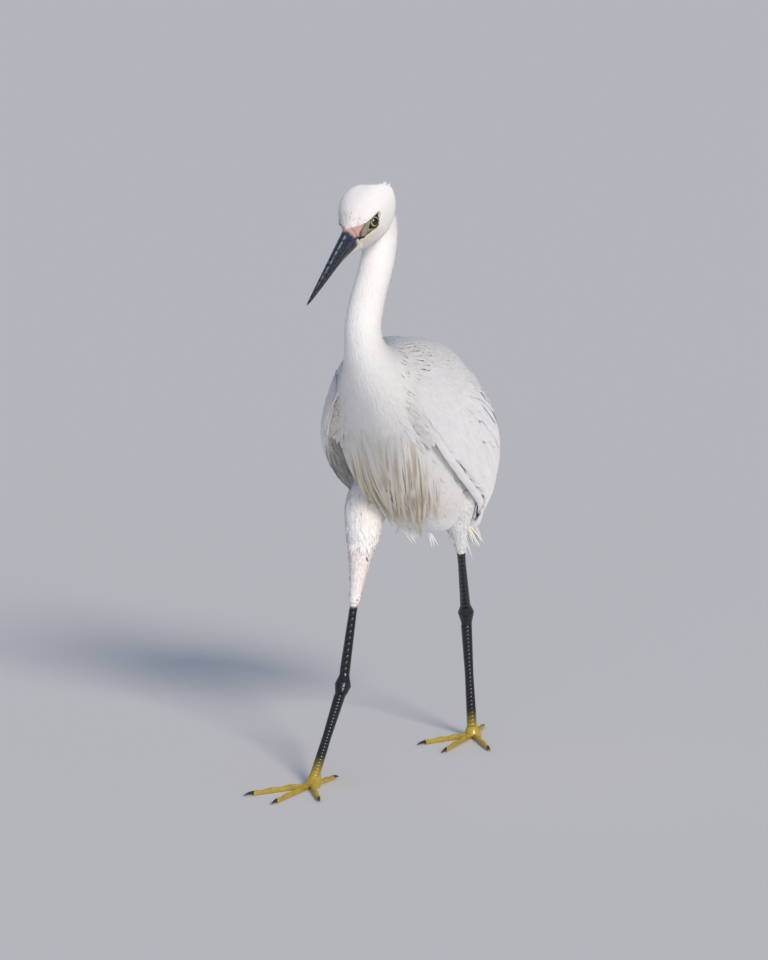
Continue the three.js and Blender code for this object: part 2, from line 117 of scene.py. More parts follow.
# %% Smooth curve through rows
def along_rows(rows, u):
    """Cubic through neighbouring rows, whose slope at a row is half the step from the row before to
    the row after; u counts rows."""
    rows = np.asarray(rows, float)
    u = np.asarray(u, float)
    last = len(rows) - 1
    i = np.clip(np.floor(u).astype(int), 0, last - 1)
    t = (u - i)[..., None]
    slope_a = (rows[i + 1] - rows[np.clip(i - 1, 0, last)]) / np.where(i > 0, 2, 1)[..., None]
    slope_b = (rows[np.clip(i + 2, 0, last)] - rows[i]) / np.where(i + 2 <= last, 2, 1)[..., None]
    a = 2 * t**3 - 3 * t**2 + 1
    return a * rows[i] + (t**3 - 2 * t**2 + t) * slope_a + (1 - a) * rows[i + 1] + (t**3 - t**2) * slope_b


def oval(angle, roundness):
    """Superellipse: the sign of cosine and sine times their size to the power 2 / roundness."""
    c, s = np.cos(angle), np.sin(angle)
    return np.sign(c) * np.abs(c) ** (2 / roundness), np.sign(s) * np.abs(s) ** (2 / roundness)


def unit(v):
    """Vectors divided by their lengths."""
    return v / np.maximum(np.linalg.norm(v, axis=-1, keepdims=True), 1e-9)


def ease(low, high, x):
    """0 below low, 1 above high, and 3t² - 2t³ between."""
    t = np.clip((x - low) / (high - low), 0, 1)
    return t * t * (3 - 2 * t)


# %% Body, head and wing
def body(u, angle, inset=0.0, wide=None, deep=None):
    """Point of the body's line plus an oval across it; angle 0 is the bird's left, 90 degrees its back."""
    u = np.asarray(u, float)
    y, z, half, above, below = np.moveaxis(along_rows(BODY_ROWS, u), -1, 0)
    step = along_rows(BODY_ROWS, u + 0.01) - along_rows(BODY_ROWS, u - 0.01)
    run = unit(np.stack([0 * y, step[..., 0], step[..., 1]], -1))
    outward = np.stack([0 * y, run[..., 2], -run[..., 1]], -1)
    across, upward = oval(angle, BODY_ROUND)
    half = half if wide is None else wide
    depth = np.where(upward > 0, above, below) if deep is None else deep
    side = np.stack([(half - inset) * across, 0 * across, 0 * across], -1)
    return np.stack([0 * y, y, z], -1) + side + outward * ((depth - inset) * upward)[..., None]


HEAD_FORWARD = np.array([-math.sin(BILL_TURN) * math.cos(BILL_PITCH),
                         -math.cos(BILL_TURN) * math.cos(BILL_PITCH), -math.sin(BILL_PITCH)])
HEAD_LEFT = np.array([math.cos(BILL_TURN), -math.sin(BILL_TURN), 0])
HEAD_UP = -np.cross(HEAD_LEFT, HEAD_FORWARD)


def head_point(behind, out, above):
    """Place in the head's own frame: behind the culmen's feathers, out to the left, above the culmen."""
    parts = np.broadcast_arrays(np.asarray(behind, float), out, above)
    return CULMEN_BASE - HEAD_FORWARD * parts[0][..., None] + HEAD_LEFT * parts[1][..., None] \
        + HEAD_UP * parts[2][..., None]


def head_places(points):
    """The reverse of head_point: behind, out and above of points."""
    d = points - CULMEN_BASE
    return -(d @ HEAD_FORWARD), d @ HEAD_LEFT, d @ HEAD_UP


def head(v, angle, inset=0.0):
    """Oval around the head's line between the top and bottom of each row."""
    behind, top, bottom, half = np.moveaxis(along_rows(HEAD_ROWS, v), -1, 0)
    across, upward = oval(angle, HEAD_ROUND)
    return head_point(behind, (half - inset) * across,
                      (top + bottom) / 2 + ((top - bottom) / 2 - inset) * upward)


def wing(side_name):
    """Surface of a folded wing: k runs from shoulder to tip, share from its upper to its lower edge."""
    side = SIDES[side_name]
    droop, flare = WING_HOLD[side_name]

    def surface(k, share, inset=0.0):
        last = len(WING_ROWS) - 1
        row, wide, deep, first, end = np.moveaxis(along_rows(WING_ROWS, np.asarray(k) * last), -1, 0)
        end = end + WING_TRIM * np.sin(math.pi * np.clip(k, 0, 1))
        angle = np.radians(first - droop * (1 - k) + (end - first) * share)
        point = body(row, angle if side > 0 else math.pi - angle, 0.0, wide - inset, deep - inset)
        point[..., 0] += side * flare * np.sin(math.pi * np.clip(k, 0, 1)) * share**2
        return point
    return surface


def wing_depth(k, share):
    """Thickness of the wing's shell: a table along it, thinned toward both edges as a half sine."""
    thick = along_rows(np.array(WING_THICK)[:, None], np.asarray(k) * (len(WING_THICK) - 1))[..., 0]
    edge, least = WING_LEAST
    return np.maximum(edge + (thick - edge) * np.sin(math.pi * share), least)


def mantle(side_name):
    """Surface that runs from the breast and back out over the wing's front, upper and lower edge: the
    body's oval blended into the wing's, by how far back and how far down it is. Angles are as on the
    left."""
    rows = np.array(WING_ROWS, float)[::-1]

    def surface(u, angle, inset=0.0):
        u, angle = np.broadcast_arrays(np.asarray(u, float), angle)
        wide, deep = (np.interp(u, rows[:, 0], rows[:, k]) for k in (1, 2))
        degrees = np.degrees(angle)
        lowest = np.interp(u, [5.0, 5.8, 6.6, 7.1], [-33, -31, -22, -13])
        share = ease(7.3, 6.7, u) * ease(82, 58, degrees) * ease(-15, 1, degrees - lowest)
        near, far = body(u, angle, inset), body(u, angle, inset, wide, deep)
        point = near + (far - near) * share[..., None]
        return point * np.array([SIDES[side_name], 1, 1])
    return surface


shift = (np.array(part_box("eye_left")[0]) + np.array(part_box("eye_left")[1])) / 2 / MM - head_point(*EYE_AT)
print("the bird's space sits in the frame at", shift.round(2), "mm")


# %% Legs
def leg_line(leg, t):
    """Straight runs knee to ankle for t from 0 to 1 and ankle to foot for t from 1 to 2, rounded at the
    ankle by averaging over a short stretch."""
    t = np.asarray(t, float)
    points = np.array([leg["knee"] * 2 - leg["ankle"], leg["knee"], leg["ankle"], leg["foot"]])

    def at(s):
        return np.stack([np.interp(s, [-1, 0, 1, 2], points[:, k]) for k in range(3)], -1)
    return (at(t - 0.05) + 2 * at(t) + at(t + 0.05)) / 4


def tube(middle, radius):
    """Surface around a line: its middle plus a circle across it, started from the bird's left; inset
    shrinks the circle."""
    def surface(t, angle, inset=0.0):
        t = np.asarray(t, float)
        run = unit(middle(t + 0.004) - middle(t - 0.004))
        left = unit(LEFT - run * run[..., :1])
        front = np.cross(run, left)
        r = radius(t) - inset
        return middle(t) + left * (r * np.cos(angle))[..., None] + front * (r * np.sin(angle))[..., None]
    return surface


def thigh(leg):
    """Feathered thigh: a smooth line hip, knee, end of the feathers, with its table of radii."""
    end = leg["knee"] + (leg["ankle"] - leg["knee"]) * leg["feathers"]
    knee, below = leg["knee"], end - leg["knee"]
    stops = [leg["hip"], (leg["hip"] + knee) / 2, knee, knee + below * 0.4, knee + below * 0.72, end]
    radii = np.array(THIGH_RADII)[:, None]
    last = len(stops) - 1
    return tube(lambda t: along_rows(stops, np.asarray(t) * last),
                lambda t: along_rows(radii, np.asarray(t) * last)[..., 0])


def leg_radius(t):
    """Radii along shin, ankle and tarsus, between table rows in a straight line."""
    return np.interp(t, *LEG_RADII)


thighs = {name: thigh(leg) for name, leg in LEGS.items()}
shanks = {name: tube(lambda t, leg=leg: leg_line(leg, t), leg_radius) for name, leg in LEGS.items()}
wings = {name: wing(name) for name in SIDES}
mantles = {name: mantle(name) for name in SIDES}
print("surfaces ready")

# %% [markdown]
# ## Making meshes
# A loft is a stack of closed rings, like the hoops of a barrel, with a point at each end. Blender
# could bridge the rings by hand; here the face list is one small calculation, so that any number
# of rings costs the same. Colour, and the place of a tuft on its skin, travel with each vertex.

# %% Mesh helpers
def linear(colour):
    """A hex colour such as f0e8d8 as linear light: each channel, past its foot, raised to 2.4."""
    c = np.array([int(colour[k:k + 2], 16) for k in (0, 2, 4)]) / 255
    return np.where(c <= 0.04045, c / 12.92, ((c + 0.055) / 1.055) ** 2.4)


def paint(mesh, tone):
    """Store a colour with each vertex of a mesh."""
    colour = np.concatenate([np.clip(tone, 0, 1), np.ones((len(tone), 1))], 1)
    mesh.color_attributes.new("tone", "FLOAT_COLOR", "POINT").data.foreach_set("color", colour.ravel())


def new_piece(name, points, corners, totals, tone=None, lie=None, patch=None, soft=None):
    """A mesh object from points in the bird's space, a flat list of face corners and corners per face.
    Soft is a normal for each face corner, for feathers that shade as the skin below them does."""
    mesh = bpy.data.meshes.new(name)
    mesh.vertices.add(len(points))
    mesh.vertices.foreach_set("co", ((points + shift) * MM).astype(np.float32).ravel())
    mesh.loops.add(len(corners))
    mesh.loops.foreach_set("vertex_index", corners.astype(np.int32))
    mesh.polygons.add(len(totals))
    mesh.polygons.foreach_set("loop_start", np.concatenate([[0], np.cumsum(totals)[:-1]]).astype(np.int32))
    mesh.polygons.foreach_set("use_smooth", np.ones(len(totals), bool))
    mesh.update(calc_edges=True)
    if tone is not None:
        paint(mesh, tone)
    if lie is not None:
        mesh.attributes.new("lie", "FLOAT_VECTOR", "POINT").data.foreach_set("vector", lie.ravel())
    if soft is not None:
        mesh.normals_split_custom_set(soft)
    if patch is not None:
        mesh.uv_layers.new(name="OFBake").data.foreach_set("uv", patch[corners].ravel())
    piece = bpy.data.objects.new(name, mesh)
    bpy.context.scene.collection.objects.link(piece)
    return piece


def finish_piece(piece, material, slot, *nodes):
    """Give a piece its material and the frame's body, and hide the solids it stands for; slot is not used."""
    if material is not None:
        piece.data.materials.clear()
        piece.data.materials.append(material)
    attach(piece, "root")
    if nodes:
        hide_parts(*nodes)
    piece.data.calc_loop_triangles()
    print(piece.name, len(piece.data.loop_triangles), "triangles")
    return piece


def around(sides):
    """Evenly spaced angles of a ring."""
    return np.arange(sides) * 2 * math.pi / sides


def grid(a, b):
    """Two tables that pair each value of a with each value of b."""
    return np.meshgrid(a, b, indexing="ij")


def band_quads(rings, sides):
    """Corners of the four-sided faces between closed rings of points numbered ring by ring."""
    k, s = grid(np.arange(rings - 1), np.arange(sides))
    after = (s + 1) % sides
    return np.stack([k * sides + s, k * sides + after, (k + 1) * sides + after, (k + 1) * sides + s], -1)


def loft_faces(rings, sides):
    """Corners of a loft closed around, whose two last points are its poles, facing outwards when the
    ring's angle turns left-handed about the run."""
    quads = band_quads(rings, sides)
    s = np.arange(sides)
    after = (s + 1) % sides
    pole, end = rings * sides, (rings - 1) * sides
    caps = np.concatenate([np.stack([after, s, 0 * s + pole], -1),
                           np.stack([end + s, end + after, 0 * s + pole + 1], -1)])
    corners = np.concatenate([quads.reshape(-1), caps.reshape(-1)])
    totals = np.concatenate([np.full(quads.size // 4, 4), np.full(len(caps), 3)])
    return corners, totals


def loft(rings):
    """Points and faces of a closed loft through an array of rings, turned so that its volume is positive."""
    count, sides = rings.shape[:2]
    points = np.concatenate([rings.reshape(-1, 3), rings[:1].mean(1), rings[-1:].mean(1)])
    corners, totals = loft_faces(count, sides)
    quads = corners[: 4 * (count - 1) * sides].reshape(-1, 4)
    a, b, c, d = (points[quads[:, k]] - points.mean(0) for k in range(4))
    volume = (np.cross(b - a, c - a) * a).sum() + (np.cross(c - a, d - a) * a).sum()
    if volume < 0:
        starts = np.concatenate([[0], np.cumsum(totals)[:-1]])
        where = np.repeat(starts, totals) + np.repeat(totals, totals) - 1
        where = where - (np.arange(len(corners)) - np.repeat(starts, totals))
        corners = corners[where]
    return points, corners, totals


# %% [markdown]
# ## Materials
# Feather, bare skin, scale and horn are all one stuff, keratin, in different thickness. Each gets
# its own colour, gloss and fine relief. Markings are worked out at each vertex from where it is on
# the bird and read here as an attribute, so skin and feathers above it always agree.

# %% Node helper
def add_node(tree, kind, settings=None, **inputs):
    """One node with its settings; each input is set to a value or joined to another node's output."""
    made = tree.nodes.new(kind)
    for key, value in (settings or {}).items():
        setattr(made, key, value)
    for key, value in inputs.items():
        socket = made.inputs[int(key[1:])] if key[1:].isdigit() else made.inputs[key.replace("_", " ")]
        if isinstance(value, bpy.types.NodeSocket):
            tree.links.new(value, socket)
        else:
            socket.default_value = value
    return made


def new_material(name, **settings):
    """A material with only a Principled shader, its own sockets set to fixed values."""
    material = bpy.data.materials.new(name)
    material.use_nodes = True
    shader = material.node_tree.nodes["Principled BSDF"]
    for key, value in settings.items():
        shader.inputs[key.replace("_", " ")].default_value = value
    return material, material.node_tree, shader


def calc(tree, operation, *values):
    """Result of one arithmetic node on numbers or other nodes' outputs."""
    inputs = {f"_{k}": value for k, value in enumerate(values)}
    return add_node(tree, "ShaderNodeMath", {"operation": operation}, **inputs).outputs[0]


def lie_of(tree):
    """The place within a blade, sheath or eye that its vertices carry, whole and as x, y and z."""
    lie = add_node(tree, "ShaderNodeAttribute", {"attribute_name": "lie"}).outputs["Vector"]
    return lie, add_node(tree, "ShaderNodeSeparateXYZ", None, Vector=lie).outputs


def relief(tree, shader, height, strength, depth):
    """Fine relief: a height from 0 to 1 tilts the shader's normal, as if it were depth metres high."""
    bump = add_node(tree, "ShaderNodeBump", None, Height=height, Strength=strength, Distance=depth)
    tree.links.new(bump.outputs[0], shader.inputs["Normal"])


def ranged(tree, value, **limits):
    """A value carried over from one range to another, 0 to 1 where no limit is given."""
    return add_node(tree, "ShaderNodeMapRange", None, Value=value, **limits).outputs["Result"]


def tinted(tree, pattern, low, high):
    """The vertex tone times a grey between low and high that follows a pattern from 0 to 1."""
    tone = add_node(tree, "ShaderNodeVertexColor", {"layer_name": "tone"})
    grey = ranged(tree, pattern, To_Min=low, To_Max=high)
    return add_node(tree, "ShaderNodeVectorMath", {"operation": "MULTIPLY"},
                    _0=tone.outputs["Color"], _1=grey).outputs[0]


# %% Feather keratin
# turn of the barbs' wave in a millimetre, radians
BARB_TURN = 7.0


def feather_material():
    """White feather: unpigmented keratin full of air, which scatters light and so looks bright and dry.
    Barbs leave the shaft at a slant every 0.4 mm; they are drawn every 0.9 mm, or they would not show."""
    material, tree, shader = new_material("feather keratin, white", Roughness=0.78, IOR=1.54,
                                          Sheen_Weight=0.1, Sheen_Roughness=0.5)
    parts = lie_of(tree)[1]
    slant = calc(tree, "ABSOLUTE", parts["X"])
    phase = calc(tree, "SUBTRACT", parts["Y"], slant)
    wave = calc(tree, "SINE", calc(tree, "MULTIPLY", phase, BARB_TURN))
    ridge = ranged(tree, wave, From_Min=-1.0)
    place = add_node(tree, "ShaderNodeTexCoord").outputs["Object"]
    cloud = add_node(tree, "ShaderNodeTexNoise", None, Vector=place, Scale=90.0, Detail=3.0)
    mixed = calc(tree, "MULTIPLY_ADD", ridge, 0.3, cloud.outputs["Fac"])
    tree.links.new(tinted(tree, mixed, 0.96, 1.02), shader.inputs["Base Color"])
    relief(tree, shader, ridge, 0.15, 0.06 * MM)
    return material


def bare_material(name, roughness, cell_mm, depth_mm, low, **settings):
    """Bare skin, scale or horn: vertex tone, mottled by small rounded cells that also give the relief."""
    material, tree, shader = new_material(name, Roughness=roughness, **settings)
    place = add_node(tree, "ShaderNodeTexCoord").outputs["Object"]
    cells = add_node(tree, "ShaderNodeTexVoronoi", None, Vector=place, Scale=1000 / cell_mm)
    cloud = add_node(tree, "ShaderNodeTexNoise", None, Vector=place, Scale=180.0, Detail=4.0)
    tree.links.new(tinted(tree, cloud.outputs["Fac"], low, 2 - low), shader.inputs["Base Color"])
    gloss = ranged(tree, cloud.outputs["Fac"], To_Min=roughness - 0.12, To_Max=roughness + 0.12)
    tree.links.new(gloss, shader.inputs["Roughness"])
    relief(tree, shader, cells.outputs["Distance"], 0.4, depth_mm * MM)
    return material


feather = feather_material()
# Thin skin between and under the feathers, dry and a little uneven
hide = bare_material("feathered skin", 0.75, 1.2, 0.1, 0.9)
# Bare face: soft, slightly moist skin with fine pores
face = bare_material("bare facial skin", 0.45, 0.6, 0.08, 0.75)
# Legs and feet: hard overlapping scales, wet and glossy
scale = bare_material("leg scale keratin", 0.3, 1.6, 0.15, 0.7, Coat_Weight=0.3, Coat_Roughness=0.15)
# Claws: dense horn with a low shine
claw_horn = bare_material("claw horn", 0.35, 0.8, 0.03, 0.8)
print("materials", [m.name for m in (feather, hide, face, scale, claw_horn)])


# %% Bill horn
def bill_material():
    """Bill sheath: blue-black horn, smooth along its length, with pale marks drawn out lengthwise that
    are scuffs where they roughen the horn and a painted highlight where they turn it blue-grey. The
    pattern is stretched twelve times along the bill, as growth and wear run that way."""
    material, tree, shader = new_material("bill horn, blue-black", Roughness=0.3, IOR=1.54)
    lie = add_node(tree, "ShaderNodeAttribute", {"attribute_name": "lie"})
    drawn = add_node(tree, "ShaderNodeMapping", None, Vector=lie.outputs["Vector"], Scale=(4.5, 0.32, 4.5))
    scuffs_and_sheen = add_node(tree, "ShaderNodeTexNoise", None, Vector=drawn.outputs[0], Scale=1.0, Detail=5.0)
    # painted highlight: where the marks are pale, the horn's colour turns blue-grey
    pale = ranged(tree, scuffs_and_sheen.outputs["Fac"], From_Min=0.57, From_Max=0.74)
    tone = add_node(tree, "ShaderNodeVertexColor", {"layer_name": "tone"})
    mixed = add_node(tree, "ShaderNodeMix", {"data_type": "RGBA"}, Factor=pale,
                     _6=tone.outputs["Color"], _7=(*linear("8ea2b6"), 1))
    tree.links.new(mixed.outputs[2], shader.inputs["Base Color"])
    gloss = ranged(tree, scuffs_and_sheen.outputs["Fac"], To_Min=0.2, To_Max=0.5)
    tree.links.new(gloss, shader.inputs["Roughness"])
    relief(tree, shader, scuffs_and_sheen.outputs["Fac"], 0.3, 0.2 * MM)
    return material


bill_horn = bill_material()


# %% Eye
def eye_material():
    """Wet eye: a clear cornea over a yellow iris and a black pupil. Rings are read from the angle off
    the eye's axis; a smooth coat gives the tear film."""
    material, tree, shader = new_material("wet eye", Roughness=0.25, IOR=1.38, Coat_Weight=1.0,
                                          Coat_Roughness=0.03)
    lie, parts = lie_of(tree)
    fibre = add_node(tree, "ShaderNodeTexNoise", None, Vector=lie, Scale=9.0, Detail=3.0)
    spread = calc(tree, "MULTIPLY_ADD", fibre.outputs["Fac"], 0.03, parts["X"])
    ramp = add_node(tree, "ShaderNodeValToRGB", None, Fac=spread)
    stops = [(0.0, "040404"), (0.47, "040404"), (0.495, "5a5218"), (0.53, "c6b935"), (0.61, "cdc03c"),
             (0.66, "746b20"), (0.7, "14120e"), (1.0, "14120e")]
    ramp.color_ramp.elements[1].position = 1.0
    for place, colour in stops[1:-1]:
        ramp.color_ramp.elements.new(place)
    for element, (place, colour) in zip(ramp.color_ramp.elements, stops):
        element.color = (*linear(colour), 1)
    tree.links.new(ramp.outputs["Color"], shader.inputs["Base Color"])
    return material


wet_eye = eye_material()
print("materials", bill_horn.name, "and", wet_eye.name)

# %% [markdown]
# ## Markings
# A little egret is white all over, so its few colours matter: cream breast plumes, a bare face of
# pink and grey-green, black legs and yellow feet. The colours are functions of place on the bird. A
# picture could be wrapped round it instead, but a function stays sharp at any size and needs no map.

# %% Colours by place
WHITE, CREAM, BUFF, PLUME = linear("f8f6f2"), linear("f2ebde"), linear("ead9b0"), linear("faf4e6")
# buff stain, dark enough to stand also for painted shade between and under the plumes
STAIN_AND_SHADE = linear("cbb793")
PINK, LORE, GAPE, MALAR = linear("cfa49b"), linear("8b8a74"), linear("17181c"), linear("ebe0c4")
PINK_PALE, LORE_PALE, LORE_DARK = linear("e3cdc4"), linear("b3a583"), linear("3f4038")
RIM, UNDER_DOWN = linear("060606"), linear("efe3d8")
BLACK_LEG, YELLOW_FOOT = linear("141519"), linear("b39a33")
# distance behind the bill's root, and there the gape's height and the lower edge of the forehead
GAPE_LINE = ([-1, 0, 3, 10, 15], [-12.4, -12.7, -14.7, -14.2, -14.8])
FOREHEAD_LINE = ([0, 0.5, 2.3, 3.9, 8.8, 13.4], [-0.5, -0.9, -1.6, -2.3, -3.8, -3.5])
# height that only the head stands above, and y between the hind and the forward leg, mm
HEAD_FLOOR, BETWEEN_LEGS = 400, -90
# height, and how far behind the bill's root the pink skin ends there
PINK_LINE = ([-13, -8, -4, -2], [0.6, 2.8, 10.2, 14])


def mix(a, b, share):
    """a where share is 0, b where it is 1."""
    return a + (b - a) * np.asarray(share)[..., None]


def bell(x, middle, width, power=2):
    """1 at the middle, and 1/e at one width from it: the exponential of minus a power."""
    return np.exp(-(((x - middle) / width) ** power))


def near_base(t, filling):
    """A depth times (1 - t / reach) squared, and nothing past the reach."""
    return filling[0] * np.clip(1 - t / filling[1], 0, 1) ** 2


def gape_on_bill(t):
    """Height of the gape's line at a share t of the bill: a straight line from half the bill's depth
    to 2.6 mm, a slight sag, and a bend down near the base."""
    return -BILL_DEPTH / 2 * (1 - t) - 2.6 * t - 0.6 * np.sin(math.pi * t) - near_base(t, GAPE_DROP)


def gape_above(behind):
    """Height of the gape's line in the head's frame, from the bill's corner to below the eye."""
    return np.interp(behind, *GAPE_LINE)


def bare_face(points):
    """1 on the bare skin between bill and eye, 0 on feathers: below the line where the forehead's
    feathers end and above the gape."""
    behind, out, above = head_places(points)
    wedge = ease(-0.4, 0.4, np.interp(behind, *FOREHEAD_LINE) - above)
    bare = wedge * ease(-0.6, 0.6, above - gape_above(behind))
    return bare * ease(15.5, 14, behind) * ease(-9, -7, behind)


def feather_tone(points):
    """White, cream low on the breast and belly, and a buff stain deepened as painted shade where the plumes
    lie.
    """
    x, y, z = np.moveaxis(points, -1, 0)
    low = ease(285, 215, z) * ease(198, 214, z) * ease(-45, -95, y)
    under = ease(46, 30, np.abs(x))
    # stain and painted shade: darker buff where the plumes lie over the breast
    stained_and_shaded = ease(284, 240, z) * ease(196, 232, z) * ease(-96, -125, y) * ease(30, 8, np.abs(x - 7))
    return mix(mix(WHITE, CREAM, 0.6 * low * under), STAIN_AND_SHADE, 0.7 * stained_and_shaded)


# how far an eye looks forward, outward and up
AHEAD, OUT, UPWARD = 0.325, 0.848, 0.421
EYE_AXIS = {name: unit(AHEAD * HEAD_FORWARD + side * OUT * HEAD_LEFT + UPWARD * HEAD_UP)
            for name, side in SIDES.items()}
EYE_PLACE = {name: head_point(EYE_AT[0], side * EYE_AT[1], EYE_AT[2]) for name, side in SIDES.items()}


def off_axis(points, side_name):
    """Angle off the eye's axis and distance from its centre, and a share that is 1 along the slit of
    the lids, which slopes from the bill's corner up to the rear."""
    d = points - EYE_PLACE[side_name]
    far = np.linalg.norm(d, axis=-1)
    axis = EYE_AXIS[side_name]
    cosine = (d @ axis) / np.maximum(far, 1e-6)
    back = 0.15 * HEAD_UP - HEAD_FORWARD
    slit = unit(back - (back @ axis) * axis)
    flat = unit(d - (d @ axis)[..., None] * axis)
    return np.degrees(np.arccos(np.clip(cosine, -1, 1))), far, (flat @ slit) ** 2


def feathers_end(points):
    """Height at which a leg's feathers end; the left leg is everything behind the line between them."""
    ends = {name: leg["knee"][2] + (leg["ankle"][2] - leg["knee"][2]) * leg["feathers"]
            for name, leg in LEGS.items()}
    return np.where(points[..., 1] > BETWEEN_LEGS, ends["left"], ends["right"])


def lid_opening(slit):
    """Degrees off the eye's axis at which the lids open: 28, and up to 20 more along the slit."""
    return 28 + 8 * slit + 12 * slit**4


def skin_tone(points):
    """Pale down-skin; the face's pink, grey-green and cream; black lid rims; black legs, yellow feet."""
    behind, out, above = head_places(points)
    tone = mix(UNDER_DOWN, feather_tone(points), 0.6)
    high = points[..., 2] > HEAD_FLOOR
    near_head = ease(-12, -9, behind) * ease(24, 20, behind) * ease(-24, -20, above) * high
    bare = bare_face(points) * near_head
    line = above - gape_above(behind)
    past = behind - np.interp(above, *PINK_LINE)
    greyed = np.clip(ease(-0.7, 0.9, past) + ease(3.0, 1.2, line), 0, 1)
    patchy = np.sin(2.1 * behind - 2.9 * above) * np.sin(1.4 * above + 0.9 * behind)
    lore_tone = mix(LORE, LORE_PALE, np.clip(1.4 * patchy, 0, 1))
    lore_tone = mix(lore_tone, LORE_DARK, np.clip(-1.2 * patchy, 0, 0.8))
    bare_tone = mix(PINK, lore_tone, greyed)
    mottle = np.sin(2.3 * behind + 1.7 * out) * np.sin(2.9 * above - 1.1 * out)
    bare_tone = mix(bare_tone, PINK_PALE, 0.35 * np.clip(mottle, 0, 1))
    bare_tone = mix(bare_tone, GAPE, 0.85 * bell(past, 0.2, 1.15))
    tone = mix(tone, bare_tone, bare)
    malar = ease(-5.5, -3.5, line) * ease(0.3, -0.5, line) * ease(16, 10, behind) * near_head
    tone = mix(tone, MALAR, malar)
    stripe = bell(line, 0, 0.5 + 1.1 * ease(6, 1, behind)) * ease(14.5, 11.5, behind) * near_head
    tone = mix(tone, GAPE, np.clip(1.3 * stripe, 0, 1))
    for name in SIDES:
        angle, far, slit = off_axis(points, name)
        reach = lid_opening(slit) + 5 + 14 * slit**8
        tone = mix(tone, RIM, ease(reach + 2.5, reach - 1, angle) * (far < 9))
    tone = mix(tone, BLACK_LEG, ease(0, 3, feathers_end(points) - points[..., 2]))
    return mix(tone, YELLOW_FOOT, ease(24, 7, points[..., 2]))


print("white", WHITE.round(2), "pink", PINK.round(2), "yellow", YELLOW_FOOT.round(2))

# %% [markdown]
# ## One skin
# A real bird has one skin from the bill to the claws. Here each part is a closed loft, a little
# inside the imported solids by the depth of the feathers, and one boolean union makes them a single
# closed surface. A voxel remesh would also join them, but it would round off the eyelids and toes.

# %% Head with lids and gape
# how deep the skin lies under the feathers of the trunk and the wings, and of the head, mm
UNDER_FEATHERS, UNDER_SHORT = 1.5, 0.8


def head_skin():
    """Loft of the head. Near each eye the surface is drawn to a socket inside the eyeball, then to a
    lid's rim just outside it, then back to the cheek; along the gape it sinks by 0.8 mm."""
    v = np.concatenate([np.linspace(0, 3.3, 120), np.linspace(3.36, 7, 40)])
    v, angle = grid(v, around(240))
    points = head(v, angle, UNDER_SHORT)
    behind, out, above = head_places(points)
    line = above - gape_above(behind)
    sink = 0.8 * bell(line, 0, 0.7) * ease(15, 12, behind)
    centre = head_point(behind, 0.55 * out, (above + 2 * gape_above(behind)) / 3)
    points = points + unit(centre - points) * sink[..., None]
    for name in SIDES:
        gaze, far, slit = off_axis(points, name)
        opening = lid_opening(slit)
        rim = EYE_RADIUS + 0.4 * bell(gaze - opening, 5, 8) + 0.1
        wanted = np.where(gaze < opening, EYE_RADIUS - 1.2, rim)
        wanted = wanted + (rim - wanted) * ease(opening - 3, opening + 3, gaze)
        blend = ease(opening + 10, opening + 34, gaze)
        pulled = wanted + (far - wanted) * blend
        direction = (points - EYE_PLACE[name]) / np.maximum(far, 1e-6)[..., None]
        points = np.where((gaze < 88)[..., None] & (far < 16)[..., None],
                          EYE_PLACE[name] + direction * pulled[..., None], points)
    return points


# %% Other lofts of the skin
def body_skin():
    """Loft of trunk and neck, inside the feathers by 1.5 mm on the trunk and 0.8 mm on the neck."""
    u, angle = grid(np.linspace(0.05, 15.9, 170), around(72))
    return body(u, angle, UNDER_FEATHERS + (UNDER_SHORT - UNDER_FEATHERS) * ease(6.5, 9, u))


def thigh_skin(name):
    """Loft of a thigh, inside its feathers by 1.1 mm at the top and hardly at all at its end."""
    t, angle = grid(np.linspace(0, 1, 50), around(30))
    return thighs[name](t, angle, 1.1 - 0.8 * t**2)


def shank_skin(name):
    """Loft of shin, ankle and tarsus, inside the scales by a third of a millimetre."""
    t, angle = grid(np.linspace(LEGS[name]["feathers"] - 0.12, 1.95, 150), around(26))
    return shanks[name](t, angle, 0.35)


def wing_skin(name):
    """Shell under the wing's feathers: an outer sheet and an inner one that part by the wing's thickness."""
    k, share = grid(np.linspace(0.01, 0.97, 60), np.linspace(0.04, 0.96, 16))
    outside = wings[name](k, share, UNDER_FEATHERS)
    inside = wings[name](k, share, wing_depth(k, share))
    return np.concatenate([outside, inside[:, ::-1]], 1)


def mantle_skin(name):
    """Fills the corner between breast, back and wing: the mantle outside, and the body 7 mm inside it."""
    u, angle = grid(np.linspace(7.25, 4.2, 30), np.radians(np.linspace(-22, 76, 26)))
    outside = mantles[name](u, angle, 1.3)
    inside = body(u, angle, 7.0) * np.array([SIDES[name], 1, 1])
    return np.concatenate([outside, inside[:, ::-1]], 1)


def hub_skin(name):
    """Knob where the toes meet, flat on the ground: circles that shrink as the cosine of the height."""
    leg = LEGS[name]
    t, angle = grid(np.linspace(0, 1, 14), around(26))
    radius = (HUB_RADIUS - 0.2) * np.cos(t * math.pi * 0.36)
    lean = (leg["ankle"] - leg["foot"]) / leg["ankle"][2] * 11
    ring = np.stack([radius * np.cos(angle), radius * np.sin(angle), 0 * angle + 0.05], -1)
    return leg["foot"] + lean * t[..., None] + ring


def toe_frame(name, toe):
    """Direction of a toe on the ground, and across it."""
    turn = math.radians(LEGS[name]["heading"] - SIDES[name] * TOES[toe][0])
    ahead = np.array([math.sin(turn), -math.cos(turn), 0])
    return ahead, np.array([-ahead[1], ahead[0], 0])


